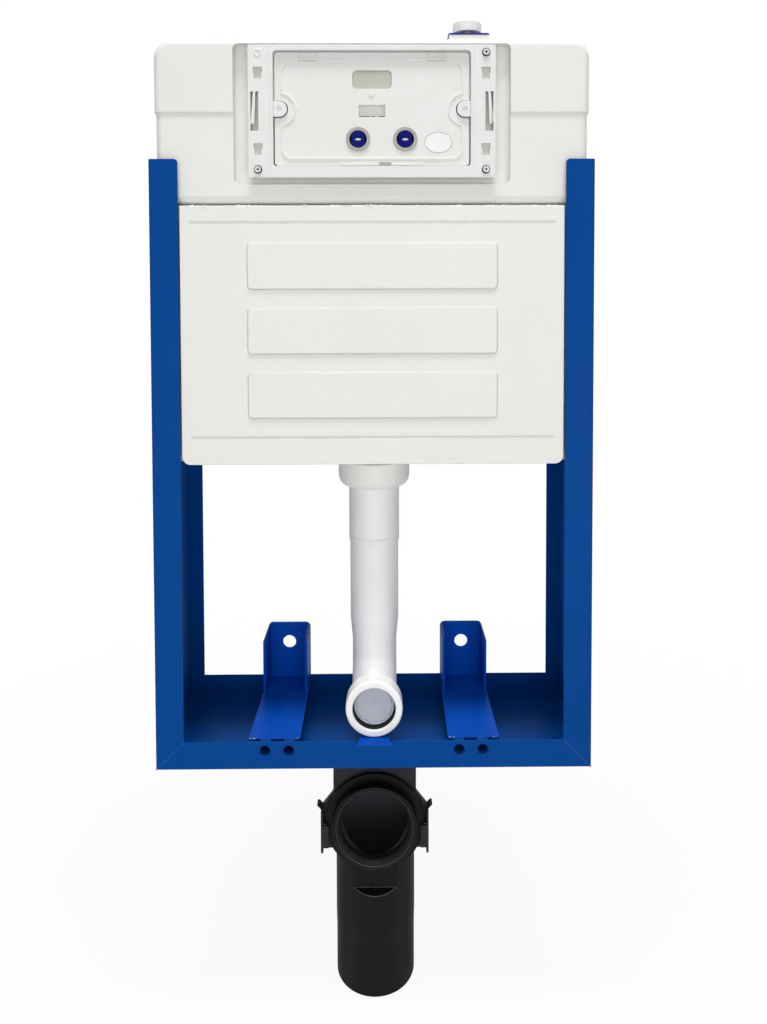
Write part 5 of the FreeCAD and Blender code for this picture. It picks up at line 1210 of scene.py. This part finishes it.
@dataclass
class FlushPipe:
    """The outlet nut, the flush pipe, the bend with its seal, and the dished plug in its mouth."""

    mouth_z: float = 36.0
    plug_radius: float = 22.1
    plug_front: float = 23.5
    plug_depth: float = 6.5
    facets: int = 14
    facet_smooth: float = 0.8
    mark_points: int = 9
    mark_step: float = 1.2

    def build(self) -> None:
        """Dress the pipe line from the cistern to its mouth."""
        Bench.dressed("outlet_seal", RUBBER, 0.3)
        Bench.dressed("flush_pipe", PIPE, 0.6)
        Bench.refinished("pipe_o_ring", RUBBER)
        Bench.dressed("flush_bend", PIPE, 0.8, segments=3)
        Bench.dressed("flush_bend_seal", RUBBER, 0.3)
        Bench.dressed("outlet_nut", NUT, 0.7)
        self._plug()

    def _plug(self) -> None:
        """Turn the plug with its rounded rim and the two rings moulded in it, and lay its faceted dish."""
        outer, depth = self.plug_radius, self.plug_depth
        centre = (0.0, self.plug_front, self.mouth_z)
        profile = [(0.0, 4.2), (18.6, 2.2), (19.6, 0.5), (20.4, 0.1), (21.2, 0.0), (outer - 0.3, 0.3),
                   (outer, 0.9), (outer, depth - 0.5), (outer - 0.5, depth), (19.5, depth),
                   (19.0, depth - 0.8), (12.0, depth - 0.6), (0.0, depth - 0.4)]
        plug = Bench.turned(profile, centre, 96, closed=False)
        Bench.piece("bend_plug_dressed", plug, PLUG, Body.PLUG, ("bend_plug",))
        dish = [(0.0, 3.9), (19.2, 0.9), (19.2, 3.2), (0.0, 4.6)]
        y, z = self.plug_front + 3.2, self.mouth_z - 5.0
        mark = [(0.15 * math.sin(2 * k), y, z + self.mark_step * k) for k in range(self.mark_points)]
        parts = [Bench.turned(dish, centre, self.facets, closed=False),
                 Bench.swept(mark, lambda s: 0.4 * math.sin(math.pi * s) + 0.05, 8)]
        Bench.piece("bend_plug_dish", parts, PLUG, Body.PLUG, smooth=self.facet_smooth)


@dataclass
class Drain:
    """The drain bend in its clip, with the seal in its mouth and the ledge under the flat."""

    level_z: float = -104.0
    pipe_y: float = 88.0
    pipe_radius: float = 45.5
    bore_radius: float = 43.4
    ledge_z: float = -186.0
    ledge_slope: float = 0.8
    flat_depth: float = 7.2

    def build(self) -> None:
        """Dress the drain, its seal, its clip and the clip's screws."""
        # The bore's faces get the paler black as painted light.
        self._paint_bore_light(Bench.dressed("drain_bend", DRAIN, 0.3, tidy=False))
        Bench.dressed("drain_seal", RUBBER, 0.4)
        Bench.dressed("drain_bracket", CLIP, 0.5)
        Bench.dressed("bracket_screws", ZINC, 0.25)
        self._ledge()

    def _paint_bore_light(self, bend: bpy.types.Object) -> None:
        """Give the faces that look into the bore, level or upright, a paler black: painted light, standing in
        for the light that falls into the bore.

        Args:
            bend: the dressed bend.
        """
        bend.data.materials.append(BORE_PAINTED_LIGHT.material())
        level = Vector((0.0, 0.0, self.level_z * MM))
        upright = Vector((0.0, self.pipe_y * MM, 0.0))
        for face in bend.data.polygons:
            off_level = (face.center - level) * Vector((1, 0, 1))
            off_upright = (face.center - upright) * Vector((1, 1, 0))
            below = face.center.z < self.level_z * MM
            for off, along in ((off_level, True), (off_upright, below)):
                if along and off.length < self.bore_radius * MM and off.dot(face.normal) < 0:
                    face.material_index = 1

    def _ledge(self) -> None:
        """Run the thin moulded lip round the crescent ledge below the flat, paler than the drain as a painted
        highlight, over the ledge's matt floor, a near-black sheet laid as painted shade.
        """
        flat = self.pipe_radius - self.flat_depth
        reach = math.acos(flat / self.pipe_radius) * 0.97
        radius = self.pipe_radius - 0.15
        path = []
        for i in range(41):
            turn = -reach + 2 * reach * i / 40
            y = self.pipe_y - radius * math.cos(turn)
            drop = self.ledge_slope * max(self.pipe_y - flat - y, 0.0)
            path.append((radius * math.sin(turn), y, self.ledge_z - drop))
        lips = [Bench.swept(path, 0.4, 8), Bench.swept([path[0], path[-1]], 0.25, 8)]
        Bench.piece("drain_ledge_lip", lips, LIP_HIGHLIGHT)
        # A thin dark sheet on the ledge: painted shade.
        Bench.piece("drain_ledge_shade", Bench.sheet(path, 0.18, -0.1), LEDGE_SHADE)


@dataclass
class Lamp:
    """One soft lamp."""

    name: str
    place: Point
    aim: Point
    size: Pair
    power: float

    def build(self) -> None:
        """Hang the lamp and turn it to its aim."""
        data = bpy.data.lights.new(self.name, "AREA")
        data.shape = "RECTANGLE"
        data.size, data.size_y = self.size
        data.energy = self.power
        lamp = in_scene(self.name, data)
        lamp.location = self.place
        lamp.rotation_euler = (Vector(self.aim) - Vector(self.place)).to_track_quat("-Z", "Y").to_euler()
        LOG.info("%s: %.0f W", self.name, self.power)


@dataclass
class Studio:
    """The pale floor and backdrop, the soft lamps and the camera; its sizes are in metres."""

    floor_z: float = -0.3085
    floor_half: float = 6.0
    floor_grey: float = 0.86
    shadow_reach: Pair = (0.35, 1.30)
    near_white: float = 0.93
    sky: float = 0.25
    camera_place: Point = (0.0109, -0.8064, 0.4747)
    lens: float = 27.42
    shift: Pair = (-0.0067, -0.1807)
    clip: Pair = (0.01, 50.0)
    yaw: float = 0.523
    pitch: float = 2.0
    roll: float = -0.14
    lamps: list[Lamp] = field(default_factory=lambda: [
        Lamp("high key", (0.05, -2.2, 3.4), (0.0, 0.05, 0.1), (1.9, 1.3), 14.0),
        Lamp("steep key", (0.0, -0.58, 3.0), (0.0, 0.05, 0.0), (1.4, 0.4), 60.0),
        Lamp("front softbox", (0.15, -2.4, 0.9), (0.0, 0.05, 0.25), (2.6, 1.8), 10.5),
        Lamp("low fill", (0.2, -2.2, -0.05), (0.0, 0.05, -0.05), (2.4, 0.8), 13.5),
    ])

    def build(self) -> None:
        """Set up the stage, the light and the camera."""
        bpy.context.scene.view_settings.view_transform = "Standard"
        self._backdrop()
        self._floor()
        for lamp in self.lamps:
            lamp.build()
        self._camera()

    def _backdrop(self) -> None:
        """Make the world white where it is seen, in gloss and glass too, and plain grey light elsewhere."""
        world = bpy.data.worlds.new("studio")
        bpy.context.scene.world = world
        world.use_nodes = True
        wires = Wiring(world.node_tree)
        rays = wires.add("LightPath", {}).node.outputs
        seen = wires.add("Math", {0: rays["Is Camera Ray"], 1: rays["Is Glossy Ray"]}, operation="MAXIMUM")
        clear = wires.add("Math", {0: seen, 1: rays["Is Transmission Ray"]}, operation="MAXIMUM")
        level = wires.add("MapRange", {"Value": clear, "To Min": self.sky, "To Max": 1.0})
        wires.feed(wires.tree.nodes["Background"], {"Color": (1, 1, 1, 1), "Strength": level})

    def _floor(self) -> None:
        """Lay the pale floor, which shows white but keeps the object's shadow."""
        half = self.floor_half
        data = bpy.data.meshes.new("floor")
        corners = [(x, y, self.floor_z) for x, y in Bench.box(-half, half, -half, half)]
        data.from_pydata(corners, [], [(0, 1, 2, 3)])
        material = bpy.data.materials.new("pale floor")
        material.use_nodes = True
        wires = Wiring(material.node_tree)
        nodes = wires.tree.nodes
        shader = nodes["Principled BSDF"]
        wires.feed(shader, {"Roughness": 0.9, "Base Color": (*[self.floor_grey] * 3, 1)})
        near, far = self.shadow_reach
        away = wires.add("VectorMath", {0: wires.place()}, "Value", operation="LENGTH")
        fade = wires.add("MapRange", {"Value": away, "From Min": near, "From Max": far, "To Max": 1.0,
                                      "To Min": self.near_white}, interpolation_type="SMOOTHSTEP")
        share = wires.product(wires.add("LightPath", {}, "Is Camera Ray"), fade)
        shown = wires.add("MixShader", {0: share, 1: shader.outputs[0], 2: wires.add("Emission", {})})
        wires.feed(nodes["Material Output"], {"Surface": shown})
        data.materials.append(material)
        in_scene("floor", data)

    def _camera(self) -> None:
        """Stand the camera at the photograph's place and angle."""
        yaw, pitch, roll = (math.radians(value) for value in (self.yaw, self.pitch, self.roll))
        right = Vector((math.cos(yaw), -math.sin(yaw), 0.0))
        ahead = Vector((math.cos(pitch) * math.sin(yaw), math.cos(pitch) * math.cos(yaw), -math.sin(pitch)))
        up = right.cross(ahead)
        turned_right = right * math.cos(roll) + up * math.sin(roll)
        turned_up = up * math.cos(roll) - right * math.sin(roll)
        data = bpy.data.cameras.new("camera")
        data.lens = self.lens
        data.shift_x, data.shift_y = self.shift
        data.clip_start, data.clip_end = self.clip
        camera = in_scene("camera", data)
        turn = Matrix((turned_right, turned_up, -ahead)).transposed().to_4x4()
        camera.matrix_world = Matrix.Translation(self.camera_place) @ turn
        bpy.context.scene.camera = camera


def main() -> None:
    """Build the stage and every sub-assembly, and report each piece."""
    logging.basicConfig(level=logging.INFO, format="%(message)s")
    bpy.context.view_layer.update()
    parts = (Studio(), SteelFrame(), AnchorBrackets(), Cistern(), FoamPanel(), PlateFrame(), AccessCover(),
             PushRods(), FlushMechanism(), FillingSide(), FlushPipe(), Drain())
    for part in parts:
        part.build()


if __name__ == "__main__":
    main()
